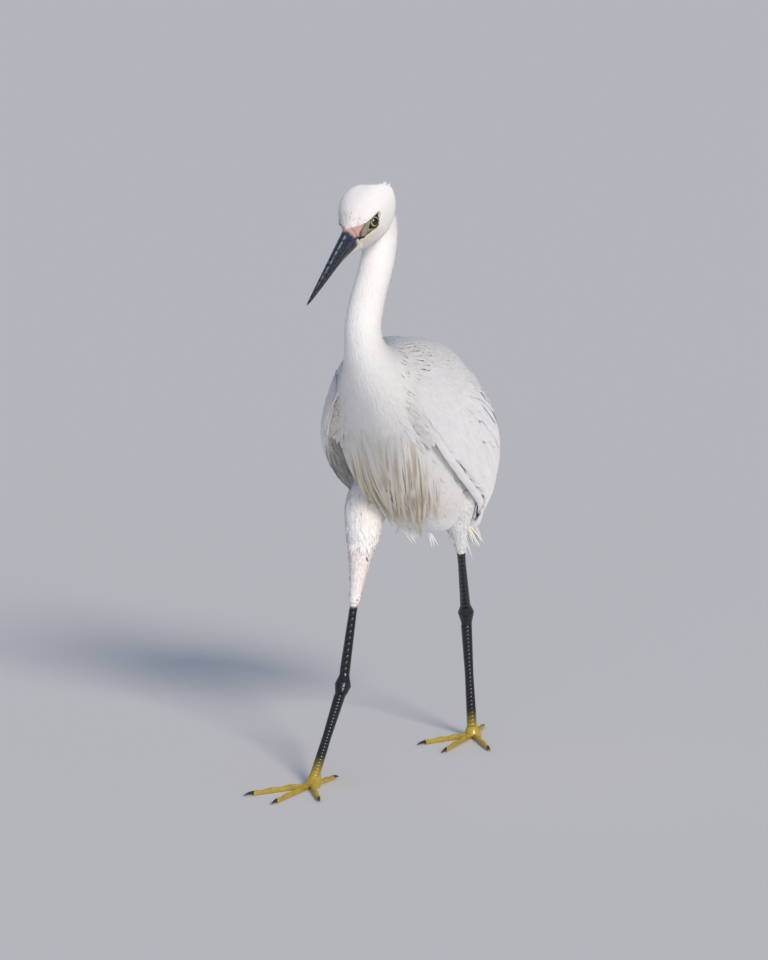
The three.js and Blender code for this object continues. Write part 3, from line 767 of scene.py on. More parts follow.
def toe(name, toe_name):
    """Surface of a toe: a tube with a pad under each joint, pressed flat on the ground."""
    ahead, across = toe_frame(name, toe_name)
    length = TOES[toe_name][1]

    def surface(t, angle, inset=0.0):
        t = np.asarray(t, float)
        pads = 1 + 0.1 * np.cos(2 * math.pi * 3 * t)
        radius = (TOE_RADIUS + (TOE_TIP - TOE_RADIUS) * t) * pads * np.minimum(1, 0.7 + 2 * t) - inset
        reach = HUB_RADIUS * 0.5 + (length - HUB_RADIUS * 0.5) * t
        height = np.maximum(0.05, radius * (0.9 + np.sin(angle)))
        side = across * (radius * np.cos(angle))[..., None]
        return LEGS[name]["foot"] + ahead * reach[..., None] + side + UP * height[..., None]
    return surface


def toe_skin(name, toe_name):
    """Loft of a toe, inside its scutes by a fifth of a millimetre."""
    t, angle = grid(np.linspace(0, 1, 48), around(18))
    return toe(name, toe_name)(t, angle, 0.2)


def tail_skin():
    """Short flat stump that carries the tail feathers: an oval across the tail's line."""
    t, angle = grid(np.linspace(0, 0.4, 16), around(30))
    middle = TAIL_ROOT + (TAIL_TIP - TAIL_ROOT) * t[..., None]
    run = unit(TAIL_TIP - TAIL_ROOT)
    up = np.array([0, -run[2], run[1]])
    return middle + LEFT * (11 * np.cos(angle))[..., None] + up * ((4.2 - 5 * t) * np.sin(angle))[..., None]


# %% Join the skin
def bird_places(items, key):
    """Places of a mesh's vertices or faces, carried back into the bird's space."""
    places = np.empty(len(items) * 3, np.float32)
    items.foreach_get(key, places)
    return places.reshape(-1, 3) / MM - shift


def joined(name, lofts):
    """One closed mesh: the first loft united with all the others by a boolean."""
    parts = [new_piece(f"part_{k}", *loft(rings)) for k, rings in enumerate(lofts)]
    for part in parts[1:]:
        union = parts[0].modifiers.new("union", "BOOLEAN")
        union.operation = "UNION"
        union.solver = "MANIFOLD"
        union.object = part
    evaluated = parts[0].evaluated_get(bpy.context.evaluated_depsgraph_get())
    mesh = bpy.data.meshes.new_from_object(evaluated)
    mesh.name = name
    for part in parts:
        bpy.data.objects.remove(part)
    piece = bpy.data.objects.new(name, mesh)
    bpy.context.scene.collection.objects.link(piece)
    return piece


lofts = [body_skin(), head_skin(), tail_skin()]
for name in SIDES:
    lofts += [wing_skin(name), mantle_skin(name), thigh_skin(name), shank_skin(name), hub_skin(name)]
    lofts += [toe_skin(name, toe_name) for toe_name in TOES]
skin = joined("skin", lofts)
paint(skin.data, skin_tone(bird_places(skin.data.vertices, "co")))
skin.data.polygons.foreach_set("use_smooth", np.ones(len(skin.data.polygons), bool))
flesh = ["trunk", "neck_lower", "neck_middle", "neck_upper", "head", "tail"]
for name in SIDES:
    flesh += [f"{part}_{name}" for part in ("wing", "thigh", "shin", "ankle", "tarsus", "foot")]
    flesh += [f"toe_{toe_name}_{name}" for toe_name in TOES]
finish_piece(skin, hide, "plumage", *flesh)

# %% Materials by zone of the skin
for material in (face, scale):
    skin.data.materials.append(material)
centres = bird_places(skin.data.polygons, "center")
behind, out, above = head_places(centres)
on_face = (behind < 25) & (centres[:, 2] > HEAD_FLOOR) & (above > gape_above(behind) - 6)
zone = np.where(on_face, 1, 0)
zone = np.where(centres[:, 2] < feathers_end(centres), 2, zone)
skin.data.polygons.foreach_set("material_index", zone.astype(np.int32))
print("faces of face skin", int((zone == 1).sum()), "and of scaled skin", int((zone == 2).sum()))


# %% [markdown]
# ## Eyes
# The eyeball is a sphere with a slightly bulging cornea. The lids are part of the skin, so the
# sphere only has to sit in its socket. Two shells, one clear, would be truer; one shell with a
# clear coat shows the same at this size and can be exported.

# %% Eyeballs
# degrees in a radian, as the iris's rings are measured
DEGREES = 57.3


def eye_ball(name):
    """Rings of a sphere around the eye's axis, whose radius swells by 0.2 mm within 30 degrees of it."""
    polar, turn = grid(np.radians(np.linspace(1.5, 178, 60)), around(48))
    axis = EYE_AXIS[name]
    first = unit(HEAD_UP - (HEAD_UP @ axis) * axis)
    second = np.cross(axis, first)
    swell = EYE_RADIUS + 0.2 * bell(np.degrees(polar), 0, 30, 4)
    rings = EYE_PLACE[name] + swell[..., None] * (
        axis * np.cos(polar)[..., None] + first * (np.sin(polar) * np.cos(turn))[..., None]
        + second * (np.sin(polar) * np.sin(turn))[..., None])
    points, corners, totals = loft(rings)
    gaze = off_axis(points, name)[0] / DEGREES
    lie = np.stack([gaze, points @ first * 0.3, points @ second * 0.3], -1)
    return new_piece(f"eyeball_{name}", points, corners, totals, lie=lie)


for name in SIDES:
    finish_piece(eye_ball(name), wet_eye, "eyes", f"eye_{name}")


# %% [markdown]
# ## Bill
# A heron's bill is two long horn sheaths. The upper has a ridge and, on each side, a groove with
# the nostril near its root; the edges meet on the gape's line. Each is a loft whose ring is a
# rounded roof above a flat floor. A lathe could not make it, as it is neither round nor straight.

# %% Bill halves
# colours of the horn; the pale blue-grey one is a painted highlight
HORN_TIP, HORN_ROOT, HORN_HIGHLIGHT = linear("0d101a"), linear("161d2b"), linear("aab7c0")
HORN_BELOW, ROSY_END = linear("b3aa92"), linear("9a9290")


def bill_half(upper):
    """Rings of half the bill: an arch over the gape's line, higher in the middle, and a flat side on
    it. Depth tapers as (1 - t) to 0.85, width as (1 - t) to 0.9; a groove runs above the edge."""
    t, turn = grid(1 - (1 - np.linspace(0, 1, 90)) ** 1.25, np.linspace(0, math.pi, 29))
    length = BILL_LENGTH if upper else BILL_LENGTH - 2
    depth = BILL_DEPTH / 2 * (0.07 + 0.93 * (1 - t) ** 0.85) + near_base(t, GAPE_DROP if upper else CHIN)
    wide = BILL_WIDTH / 2 * (0.09 + 0.91 * (1 - t) ** 0.9)
    blunt = np.sqrt(np.clip(1 - np.clip((t - 0.965) / 0.035, 0, 1) ** 2, 0.02, 1))
    gape = gape_on_bill(t)
    sign = 1 if upper else -1
    side_turn = np.minimum(turn, math.pi - turn)
    groove = bell(side_turn, 0.75, 0.16) * ease(0.62, 0.3, t) * 0.45 if upper else 0 * t
    nostril = bell(side_turn, 0.72, 0.13) * bell(t, 0.085, 0.03, 4) * 0.7 * upper
    arch = np.sin(turn) ** (0.85 if upper else 0.7)
    swell = 1 - (groove + nostril) / np.maximum(wide, 1.2)
    x = wide * np.cos(turn) * swell * blunt
    y = gape + sign * (0.12 + depth * arch * swell * blunt)
    roof = head_point(-length * t, x, y)
    across = np.linspace(-1, 1, 9)[1:-1]
    floor = head_point(-length * t[:, :1], across * wide[:, :1] * blunt[:, :1], gape[:, :1] + sign * 0.12)
    points, corners, totals = loft(np.concatenate([roof, floor], 1))
    behind, out, above = head_places(points)
    along = -behind / length
    tone = mix(HORN_TIP, HORN_ROOT, ease(0.75, 0.1, along))
    side = np.abs(out) / np.maximum(np.interp(along, t[:, 0], wide[:, 0]), 0.3)
    if upper:
        # painted highlight: a pale, broken streak along the side of the upper sheath
        highlight_streak = bell(side, 0.42, 0.1) * ease(0.06, 0.12, along) * ease(0.95, 0.6, along)
        highlight_breaks = ease(-1.4, 0.8, np.sin(61 * along) + np.sin(97 * along + 1.3))
        tone = mix(tone, HORN_HIGHLIGHT, 0.65 * highlight_streak * highlight_breaks)
        rosy = mix(PINK, ROSY_END, ease(0.02, 0.08, along))
        base = ease(0.085, 0.045, along + 0.02 * side) * ease(1.6, 3.4, above - gape_on_bill(along))
        tone = mix(tone, rosy, base)
        wedge = ease(-0.3, 0.5, behind + 2.4 - 0.7 * np.abs(out)) * ease(-2.4, -1.2, above)
        tone = mix(tone, WHITE, wedge)
    else:
        below = ease(0.35, 0.9, (gape_on_bill(along) - above) / np.interp(along, t[:, 0], depth[:, 0]))
        tone = mix(tone, HORN_BELOW, 0.8 * ease(0.3, 0.8, below) * ease(1.0, 0.6, along))
        tone = mix(tone, MALAR, ease(0.03, -0.03, along - 0.03 - 0.19 * below))
    lie = np.stack([out, along * length, above], -1)
    return new_piece("bill_sheath_" + ("upper" if upper else "lower"), points, corners, totals, tone, lie)


finish_piece(bill_half(True), bill_horn, "bill", "bill_upper")
finish_piece(bill_half(False), bill_horn, "bill", "bill_lower")


# %% [markdown]
# ## Claws
# Each toe ends in a curved claw of dark horn. A curve with a bevel would do; a loft along a bent
# line is as short and ends in a true point.

# %% Claws
CLAW_HORN = linear("2b2622")


def claw(name, toe_name):
    """Circles along a line that rises a little and bends down to the ground, shrinking to a point."""
    ahead, across = toe_frame(name, toe_name)
    t, angle = grid(np.linspace(0, 1, 16), around(12))
    start = LEGS[name]["foot"] + ahead * (TOES[toe_name][1] - 0.6)
    height = 2.2 + 1.6 * t - 2.7 * t**2
    radius = 1.45 * (1 - t) ** 0.7 + 0.12
    middle = start + ahead * (9.6 * t)[..., None] + UP * height[..., None]
    side = across * (0.8 * radius * np.cos(angle))[..., None]
    return middle + side + UP * (radius * np.sin(angle))[..., None]


for name in SIDES:
    for toe_name in TOES:
        points, corners, totals = loft(claw(name, toe_name))
        horn = np.broadcast_to(CLAW_HORN, points.shape)
        finish_piece(new_piece(f"horn_claw_{toe_name}_{name}", points, corners, totals, horn), claw_horn,
                     "claws", f"claw_{toe_name}_{name}")

# %% [markdown]
# ## Feathers as thin closed blades
# A feather tuft is many barbs that hold together and end in a point; a wing feather is a wide blade
# with a shaft. Blender's particle hair could grow them, but then they are not solid. Here each is
# one closed blade: a small section carried along a line on the body's surface and drawn to a tip.

# %% Lines on a surface
# corners across a lock, a vane, a plume's strand and a wisp, and their widths from root to tip
LOCK = (np.array([[-1, 0], [0, 1], [1, 0]]), [0.5, 1.0, 0.92, 0.6])
VANE = (np.array([[-1, 0], [-0.45, 0.75], [0, 1.3], [0.45, 0.75], [1, 0], [0, -0.7]]),
        [0.35, 0.75, 0.95, 1.0, 1.0, 0.96, 0.82, 0.52])
STRAND = (LOCK[0], [0.4, 0.7, 0.9, 1, 1, 0.95, 0.88, 0.78, 0.62, 0.42])
WISP = (LOCK[0], [0.8, 1, 1, 0.85, 0.65, 0.4])
LOCK_RINGS, VANE_RINGS, STRAND_RINGS, WISP_RINGS = (len(form[1]) for form in (LOCK, VANE, STRAND, WISP))
# side of a blade's square in the map OFBake
PATCH = 0.003
# radius that a feather's vane is bent to, mm
GIRTH = 50.0
# steps in which a surface is measured before roots are spread over it
FINE = 160
# step of a surface's parameters over which its slopes are measured
STEP = 0.01
# shares of the spacing by which a root may stand off its row, along and across
OFF_ROW = (0.6, 0.35)
# how far blades differ in brightness, and in where their barbs start, mm
BRIGHTNESS, BARB_START = 0.05, 40
# how far normals lean to the sides, and how much of the surface's normal lower faces keep
LEAN, UNDER = 0.35, 0.3
# distance between neighbouring roots, mm
SPACING = {"head": 1.0, "neck": 1.6, "trunk": 4.9, "lining": 5.0, "mantle": 4.0, "thigh": 3.1}
# heights of a blade's root and tip over the surface, mm
RISE = {"short": (-0.6, 0.1), "trunk": (-1.2, 0.1), "thigh": (-0.8, 0.1), "wing": (-1.0, 0.3),
        "lining": (-0.6, 0.3), "tail": (0.0, 0.4), "plume": (-0.3, 0.9)}


def slopes(surface, a, b):
    """Millimetres of surface per unit of each parameter, from points a step before and after."""
    along = np.linalg.norm(surface(a + STEP, b) - surface(a - STEP, b), axis=-1) / (2 * STEP)
    across = np.linalg.norm(surface(a, b + STEP) - surface(a, b - STEP), axis=-1) / (2 * STEP)
    return np.maximum(along, 1e-3), np.maximum(across, 1.5)


def scatter(surface, a_span, b_span, spacing, seed, keep=None):
    """Roots in rows one spacing apart, as a bird's feathers grow. Lengths on the surface are summed over
    small steps; rows and the roots in a row stand at equal sums, with each row's start moved by a
    seeded share of the spacing. Keep says which roots stay."""
    rng = np.random.default_rng(seed)
    fine_a, fine_b = np.linspace(*a_span, FINE), np.linspace(*b_span, FINE)
    mesh = surface(*grid(fine_a, fine_b))
    ahead = np.linalg.norm(np.diff(mesh, axis=0), axis=-1).mean(1)
    sums = np.concatenate([[0], np.cumsum(ahead)])
    rows = np.interp(np.arange(0.5, sums[-1] / spacing) * spacing, sums, fine_a)
    a, b = [], []
    for row in rows:
        ring = surface(np.full(FINE, row), fine_b)
        round_it = np.concatenate([[0], np.cumsum(np.linalg.norm(np.diff(ring, axis=0), axis=-1))])
        places = (np.arange(int(round_it[-1] / spacing) + 1) + rng.random()) * spacing
        places = places[places < round_it[-1]]
        b.append(np.interp(places, round_it, fine_b))
        a.append(np.full(len(places), row))
    a, b = np.concatenate(a), np.concatenate(b)
    along, across = slopes(surface, a, b)
    a = a + (rng.random(len(a)) - 0.5) * OFF_ROW[0] * spacing / along
    b = b + (rng.random(len(a)) - 0.5) * OFF_ROW[1] * spacing / across
    a = np.clip(a, *a_span)
    if keep is not None:
        chosen = keep(a, b, surface(a, b))
        a, b = a[chosen], b[chosen]
    return a, b


def lines(surface, roots, length, aim, bend, rise, rings, a_limits):
    """Centrelines of blades. aim is the angle from growing a toward growing b, bend the turn added by
    the tip, rise the heights of root and tip over the surface; steps in mm become steps in a and b by
    the slopes at the root."""
    a, b = roots
    s = np.linspace(0, 1, rings + 1)[None]
    turn = aim[:, None] + bend[:, None] * s
    step = (length / rings)[:, None]
    along, across = slopes(surface, a, b)
    run_a = np.concatenate([0 * a[:, None], np.cumsum(np.cos(turn[:, 1:]) * step, 1)], 1) / along[:, None]
    run_b = np.concatenate([0 * a[:, None], np.cumsum(np.sin(turn[:, 1:]) * step, 1)], 1) / across[:, None]
    a = np.clip(a[:, None] + run_a, *a_limits)
    b = b[:, None] + run_b
    height = rise[0] + (rise[1] - rise[0]) * s**0.8
    points = surface(a, b, -height)
    normals = unit(surface(a, b, -height - 0.5) - points)
    return points, normals


# %% Blades along lines
def blade_faces(count, rings, sides):
    """Corners and sizes of the faces of many closed blades: quads between rings, a cap at the root and
    a fan of triangles to the tip."""
    quads = band_quads(rings, sides)
    s = np.arange(sides)
    after = (s + 1) % sides
    end = (rings - 1) * sides
    fan = np.stack([end + s, end + after, 0 * s + rings * sides], -1)
    one = np.concatenate([quads.reshape(-1), s[::-1], fan.reshape(-1)])
    sizes = np.concatenate([np.full((rings - 1) * sides, 4), [sides], np.full(sides, 3)])
    corners = one[None] + (np.arange(count) * (rings * sides + 1))[:, None]
    return corners.reshape(-1), np.tile(sizes, count)


def blades(points, normals, half_width, thick, outline, section):
    """Closed blades along centrelines. At each ring the section is stretched by half the width times
    the outline and by the thickness, across the line and along the normal, and its sides drop by their
    distance squared over twice the body's radius; the last point is the tip. Also gives each point the
    surface's normal and a lean to the side that the point is on."""
    run = np.gradient(points, axis=1)
    across = unit(np.cross(run, normals))
    up = np.cross(across, unit(run))
    rings = points.shape[1] - 1
    outline = np.asarray(outline)[None, :, None, None]
    wide = half_width[:, None, None, None] * outline * section[None, None, :, :1]
    high = thick[:, None, None, None] * np.sqrt(outline) * section[None, None, :, 1:] - wide**2 / (2 * GIRTH)
    ring_points = points[:, :rings, None] + across[:, :rings, None] * wide + up[:, :rings, None] * high
    shape = np.concatenate([ring_points.reshape(len(points), -1, 3), points[:, rings:]], 1)
    outward = np.concatenate([np.repeat(normals[:, :rings], len(section), 1), normals[:, rings:]], 1)
    lean = LEAN * across[:, :rings, None] * section[None, None, :, :1]
    lean = np.concatenate([lean.reshape(len(points), -1, 3), 0 * normals[:, rings:]], 1)
    return shape, outward, lean


def soft_normals(outward, lean, corners, rings, section):
    """A normal for each face corner: outward plus lean on a blade's upper faces, so that feathers shade
    as the surface they lie on. Lower faces, seen only at the bird's outline, lean far to the sides, as
    thin barbs let the light round."""
    upper = np.where(section[:, 1] + np.roll(section[:, 1], -1) > 0, 1.0, -1.0)
    sides = np.tile(np.repeat(upper, 4), rings - 1)
    one = np.concatenate([sides, np.ones(len(section)), np.repeat(upper, 3)])
    faces_up = np.tile(one, len(corners) // len(one))[:, None]
    under = np.where(faces_up > 0, 1.0, UNDER)
    return unit(faces_up * under * outward[corners] + lean[corners] / under)


def coat(name, form, line, roots, spans, length, half_width, thick, tone, seed, shade, slot="plumage",
         nodes=(), tip_tone=None):
    """One piece of feathers of a form, along lines that are given as points and normals. Tone comes per
    blade, varies a little from blade to blade and is darker at the root, a painted shade where the
    blades above would cover it; the map OFBake gives each blade a small square at its root's place on
    the surface."""
    rng = np.random.default_rng(seed)
    section, outline = form
    points, normals = line
    half_width, thick = (np.broadcast_to(values, length.shape) for values in (half_width, thick))
    shape, outward, lean = blades(points, normals, half_width, thick, outline, section)
    count, per_blade = shape.shape[:2]
    rings, sides = points.shape[1] - 1, len(section)
    corners, totals = blade_faces(count, rings, sides)
    s = np.concatenate([np.repeat(np.linspace(0, rings / (rings + 1), rings), sides), [1.0]])
    x = np.concatenate([np.tile(section[:, 0], rings), [0.0]])
    # painted shade: each blade darkens toward its root by the share given as shade
    bright = 1 + BRIGHTNESS * (rng.random((count, 1)) - 0.5) - shade * (1 - s) ** 2
    tone = tone[:, None]
    if tip_tone is not None:
        tone = tone + (tip_tone[:, None] - tone) * ease(0.05, 0.8, s)[None, :, None]
    colour = tone * bright[..., None]
    lie = np.stack([x * half_width[:, None], s * length[:, None] + BARB_START * rng.random((count, 1)),
                    np.broadcast_to(rng.random((count, 1)), (count, per_blade))], -1)
    place = np.stack([(at - low) / (high - low) for at, (low, high) in zip(roots, spans)], -1)
    place = PATCH + (1 - 2 * PATCH) * np.clip(place, 0, 1)
    patch = place[:, None] + np.stack([x / 2, s - 0.5], -1)[None] * PATCH
    soft = soft_normals(outward.reshape(-1, 3), lean.reshape(-1, 3), corners, rings, section)
    piece = new_piece(name, shape.reshape(-1, 3), corners, totals, colour.reshape(-1, 3),
                      lie.reshape(-1, 3), patch.reshape(-1, 2), soft)
    return finish_piece(piece, feather, slot, *nodes)


def fans(values, blades_per_fan):
    """Each value repeated for every blade of its fan."""
    return np.repeat(values, blades_per_fan)


def fan_spread(count, blades_per_fan):
    """Place of each blade in its fan, from -1 to 1."""
    return np.tile(np.linspace(-1, 1, blades_per_fan), count)


def fan_out(rng, roots, blades_per_fan, stray):
    """Places in the fans, each a little astray, and the fans' roots repeated for every blade."""
    place = fan_spread(len(roots[0]), blades_per_fan)
    place = place + rng.normal(0, stray, len(place))
    return place, tuple(fans(values, blades_per_fan) for values in roots)


def blade_triangles(form):
    """Triangles of one blade: two for each face between its rings, the root's cap and the tip's fan."""
    sides, rings = len(form[0]), len(form[1])
    return 2 * (rings - 1) * sides + sides - 2 + sides


print("a lock has", blade_triangles(LOCK), "triangles, a vane", blade_triangles(VANE))

# %% [markdown]
# ## Feathers of head and neck
# On the face they are as short as velvet, on the crown and nape a few millimetres long, and on the
# neck narrow and pointed. They lie back from the bill and down the neck. Where one surface runs into
# another, roots that would be inside the other are left out.


# %% Masks
# last row of the neck, rows searched, and how deep in an oval, 1 at its edge, a root is left out
NECK_END, SEARCHED, WITHIN_BODY, WITHIN_HEAD = 15.9, 240, 0.82, 0.85


def inside_body(points, least):
    """True where points are inside the body's ovals, whose rows from least to the neck's end are
    searched for the nearest."""
    rows = np.linspace(least, NECK_END, SEARCHED)
    middle = along_rows(BODY_ROWS, rows)
    step = along_rows(BODY_ROWS, rows + STEP) - along_rows(BODY_ROWS, rows - STEP)
    run = unit(step[:, :2])
    dy = points[..., 1, None] - middle[:, 0]
    dz = points[..., 2, None] - middle[:, 1]
    nearest = np.argmin(np.abs(dy * run[:, 0] + dz * run[:, 1]) + 0.15 * np.hypot(dy, dz), -1)
    y, z, half, above, below = np.moveaxis(middle[nearest], -1, 0)
    outward = (points[..., 1] - y) * run[nearest, 1] - (points[..., 2] - z) * run[nearest, 0]
    deep = np.where(outward > 0, above, below)
    filled = (np.abs(points[..., 0]) / half) ** BODY_ROUND + (np.abs(outward) / deep) ** BODY_ROUND
    return filled < WITHIN_BODY


def inside_head(points):
    """True where points are inside the head's ovals."""
    behind, out, above = head_places(points)
    rows = np.array(HEAD_ROWS)
    top, bottom, half = (np.interp(behind, rows[:, 0], rows[:, k]) for k in (1, 2, 3))
    share = (above - (top + bottom) / 2) / ((top - bottom) / 2)
    filled = (np.abs(out) / half) ** HEAD_ROUND + np.abs(share) ** HEAD_ROUND < WITHIN_HEAD
    return filled & (behind > 1) & (behind < 66)


def clear_of_eyes(points, margin):
    """True where points are outside the lids by a margin in degrees."""
    clear = np.ones(points.shape[:-1], bool)
    for side_name in SIDES:
        gaze, far, slit = off_axis(points, side_name)
        clear &= (gaze > lid_opening(slit) + margin) | (far > 11)
    return clear


# %% Head feathers
def on_head(v, angle, points):
    """Feathered skin of the head: off the bare face, the lids and the neck's root."""
    behind, out, above = head_places(points)
    bare = (bare_face(points) > 0.35) & (above > gape_above(behind) - 0.5)
    lores = (np.abs(above - gape_above(behind)) < 0.8) & (behind < 14)
    return ~bare & ~lores & clear_of_eyes(points, 7) & ~inside_body(points, 12.5)


# a full turn; first and last row and angle that bear feathers
ROUND = (-math.pi, math.pi)
HEAD_SPANS, NECK_SPANS = ((0.02, 6.9), ROUND), ((6.7, 15.7), ROUND)
# rows that no lock of the head may leave
HEAD_LIMITS = (0.0, 7.0)
FLECK = linear("c0a078")


def head_tone(points, rng):
    """Feather white, cream along the gape, with a few brown flecks above the bare face."""
    behind, out, above = head_places(points)
    line = above - gape_above(behind)
    malar = ease(-8.5, -4, line) * ease(0.6, -0.4, line) * ease(21, 9, behind)
    colour = mix(feather_tone(points), MALAR, 0.6 * malar)
    patchy = np.sin(2.1 * out + 1.3 * behind) + np.sin(1.27 * out - 2.3 * behind + 0.7)
    flecked = ease(0.4, 1.4, patchy) * ease(1.5, 4, behind) * ease(11, 8, behind) * (above > -3.5)
    flecked = flecked * (rng.random(len(points)) < 0.5)
    return mix(colour, FLECK, 0.6 * flecked)


def head_feathers(seed):
    """Single locks, 2.4 mm long at the bill and 7 mm at the nape. Those whose tips would cross an eye or
    the bare face are cut to 0.45 of their length, and the crown's are raised by up to 1 mm."""
    roots = scatter(head, *HEAD_SPANS, SPACING["head"], seed, on_head)
    rng = np.random.default_rng(seed + 1)
    count = len(roots[0])
    root_points = head(*roots)
    behind, out, above = head_places(root_points)
    grown = ease(3, 34, behind)
    length = (2.4 + 4.6 * grown) * rng.uniform(0.85, 1.15, count)
    aim, bend = rng.normal(0, 0.1, count), rng.normal(0, 0.12, count)
    tips = lines(head, roots, length, aim, bend, RISE["short"], LOCK_RINGS, HEAD_LIMITS)[0][:, -1]
    on_face = (bare_face(tips) > 0.5) & (head_places(tips)[2] > gape_above(behind))
    length = np.where(~clear_of_eyes(tips, 2) | on_face, length * 0.45, length)
    points, normals = lines(head, roots, length, aim, bend, RISE["short"], LOCK_RINGS, HEAD_LIMITS)
    crown = bell(behind, 39, 9) * ease(2, 8, above)
    points = points + normals * crown[:, None, None]
    coat("feathers_head", LOCK, (points, normals), roots, HEAD_SPANS, length, 0.4 + 0.45 * grown,
         0.08 + 0.02 * grown, head_tone(root_points, rng), seed + 2, 0.03)


head_feathers(11)


# %% Neck feathers
def neck_feathers(seed):
    """Single locks down the neck, 8 mm long below the head and 15 mm where the neck joins the trunk."""
    def outside(u, angle, points):
        return ~inside_head(points)

    roots = scatter(body, *NECK_SPANS, SPACING["neck"], seed, outside)
    rng = np.random.default_rng(seed + 1)
    count = len(roots[0])
    low = ease(10, 7.2, roots[0])
    length = (8.0 + 7.0 * low) * rng.uniform(0.8, 1.2, count)
    aim, bend = rng.normal(math.pi, 0.07, count), rng.normal(0, 0.1, count)
    line = lines(body, roots, length, aim, bend, RISE["short"], LOCK_RINGS, (0.0, NECK_END))
    coat("feathers_neck", LOCK, line, roots, NECK_SPANS, length, 0.95 + 0.35 * low, 0.09 + 0.03 * low,
         feather_tone(body(*roots)), seed + 2, 0.02)


neck_feathers(21)

# %% [markdown]
# ## Contour feathers of the trunk
# Each is a rounded fan whose barbs part at its edge. One blade per feather would look like scales,
# so a feather here is a fan of narrow locks from one root, the middle ones longest.


# %% Trunk feathers
# rows of the trunk that bear feathers, locks to a fan, and half the width of a lock, mm
TRUNK_SPAN, FAN, LOCK_WIDE = (0.25, 7.5), 8, 1.8
# rows of the body, and the lowest and highest angle that is covered there, degrees
FLANK = ([0.3, 2, 5, 6.6, 7], [-20, -34, -30, -14, 0], [42, 42, 50, 50, 20])


def trunk_feathers(name, span, seed):
    """Fans of eight locks over part of the trunk, that lie back along the body and droop a little on
    its flanks."""
    spans = (TRUNK_SPAN, span)
    roots = scatter(body, *spans, SPACING["trunk"], seed, not_under_wing)
    rng = np.random.default_rng(seed + 1)
    count = len(roots[0])
    long = (13 + 9 * ease(6.8, 3.5, roots[0])) * rng.uniform(0.85, 1.15, count)
    turned = rng.normal(0, 0.12, count)
    droop = 0.22 * np.cos(roots[1]) * ease(0.3, -0.6, np.sin(roots[1]) - 0.2)
    place, roots = fan_out(rng, roots, FAN, 0.08)
    length = fans(long, FAN) * (1 - 0.22 * place**2) * rng.uniform(0.9, 1.1, len(place))
    aim = math.pi + fans(turned + droop, FAN) + 0.42 * place
    bend = -0.5 * place + rng.normal(0, 0.1, len(place))
    line = lines(body, roots, length, aim, bend, RISE["trunk"], LOCK_RINGS, (-0.2, 8.5))
    coat(name, LOCK, line, roots, spans, length, LOCK_WIDE, 0.11, feather_tone(body(*roots)), seed + 2, 0.04)


def not_under_wing(u, angle, points):
    """Leaves out the flanks, which the folded wings and the mantle cover."""
    rows, lowest, highest = FLANK
    low_edge, high_edge = (np.radians(np.interp(u, rows, edge)) for edge in (lowest, highest))
    turned = np.arctan2(np.sin(angle), np.abs(np.cos(angle)))
    return (turned < low_edge) | (turned > high_edge) | (u > rows[-1])


trunk_feathers("feathers_back", (0.0, math.pi), 31)
trunk_feathers("feathers_breast", (-math.pi, 0.0), 41)

# %% [markdown]
# ## Wing feathers
# A folded wing shows rows of coverts like roof tiles, and past them the long feathers of the arm
# and hand. Each row here starts a third of a feather behind the last, its feathers' roots deeper
# and their tips higher, so that front feathers lie over those behind, as on the bird.


# %% Wing vanes
# place from shoulder to tip, length there
WING_LONG = ([0, 0.12, 0.3, 0.45, 0.6, 0.75, 0.92], [9, 12, 21, 34, 52, 60, 46])
LINING_LONG = ([0, 0.5, 1], [13, 22, 30])
# place from shoulder to tip, millimetres across the wing there
WING_ACROSS = ([0, 0.3, 0.8, 0.9], [56, 108, 86, 40])
# the wing's length, mm, its first and last row, and the step to the next row in feather lengths
WING_RUN, FIRST_ROW, LAST_ROW, ROW_STEP = 260, 0.08, 0.86, 0.3
WING_SPANS, LINING_SPANS = ((-0.1, 1.0), (-0.05, 1.05)), ((0.02, 0.9), (0.42, 0.98))
# shade of white that some of the wing's feathers have
LILAC = linear("f3f1f3")


def wing_rows(seed):
    """Roots and lengths of all vanes: rows 0.3 of a length apart, and in each row as many vanes as the
    wing is wide there over 2.2 mm and 0.17 of their length, so that neighbours overlap."""
    rng = np.random.default_rng(seed)
    k, share, length = [], [], []
    at, row = FIRST_ROW, 0
    while at < LAST_ROW:
        long = np.interp(at, *WING_LONG)
        wide = 2.2 + 0.17 * long
        count = int(np.interp(at, *WING_ACROSS) / wide)
        places = (np.arange(count) + 0.5 * (row % 2)) / (count - 0.5)
        k.append(rng.normal(at, 0.012, count) - 0.03 * np.sin(math.pi * places))
        share.append(places)
        length.append(long * rng.uniform(0.92, 1.08, count))
        at += ROW_STEP * long / WING_RUN
        row += 1
    return np.concatenate(k), np.concatenate(share), np.concatenate(length)


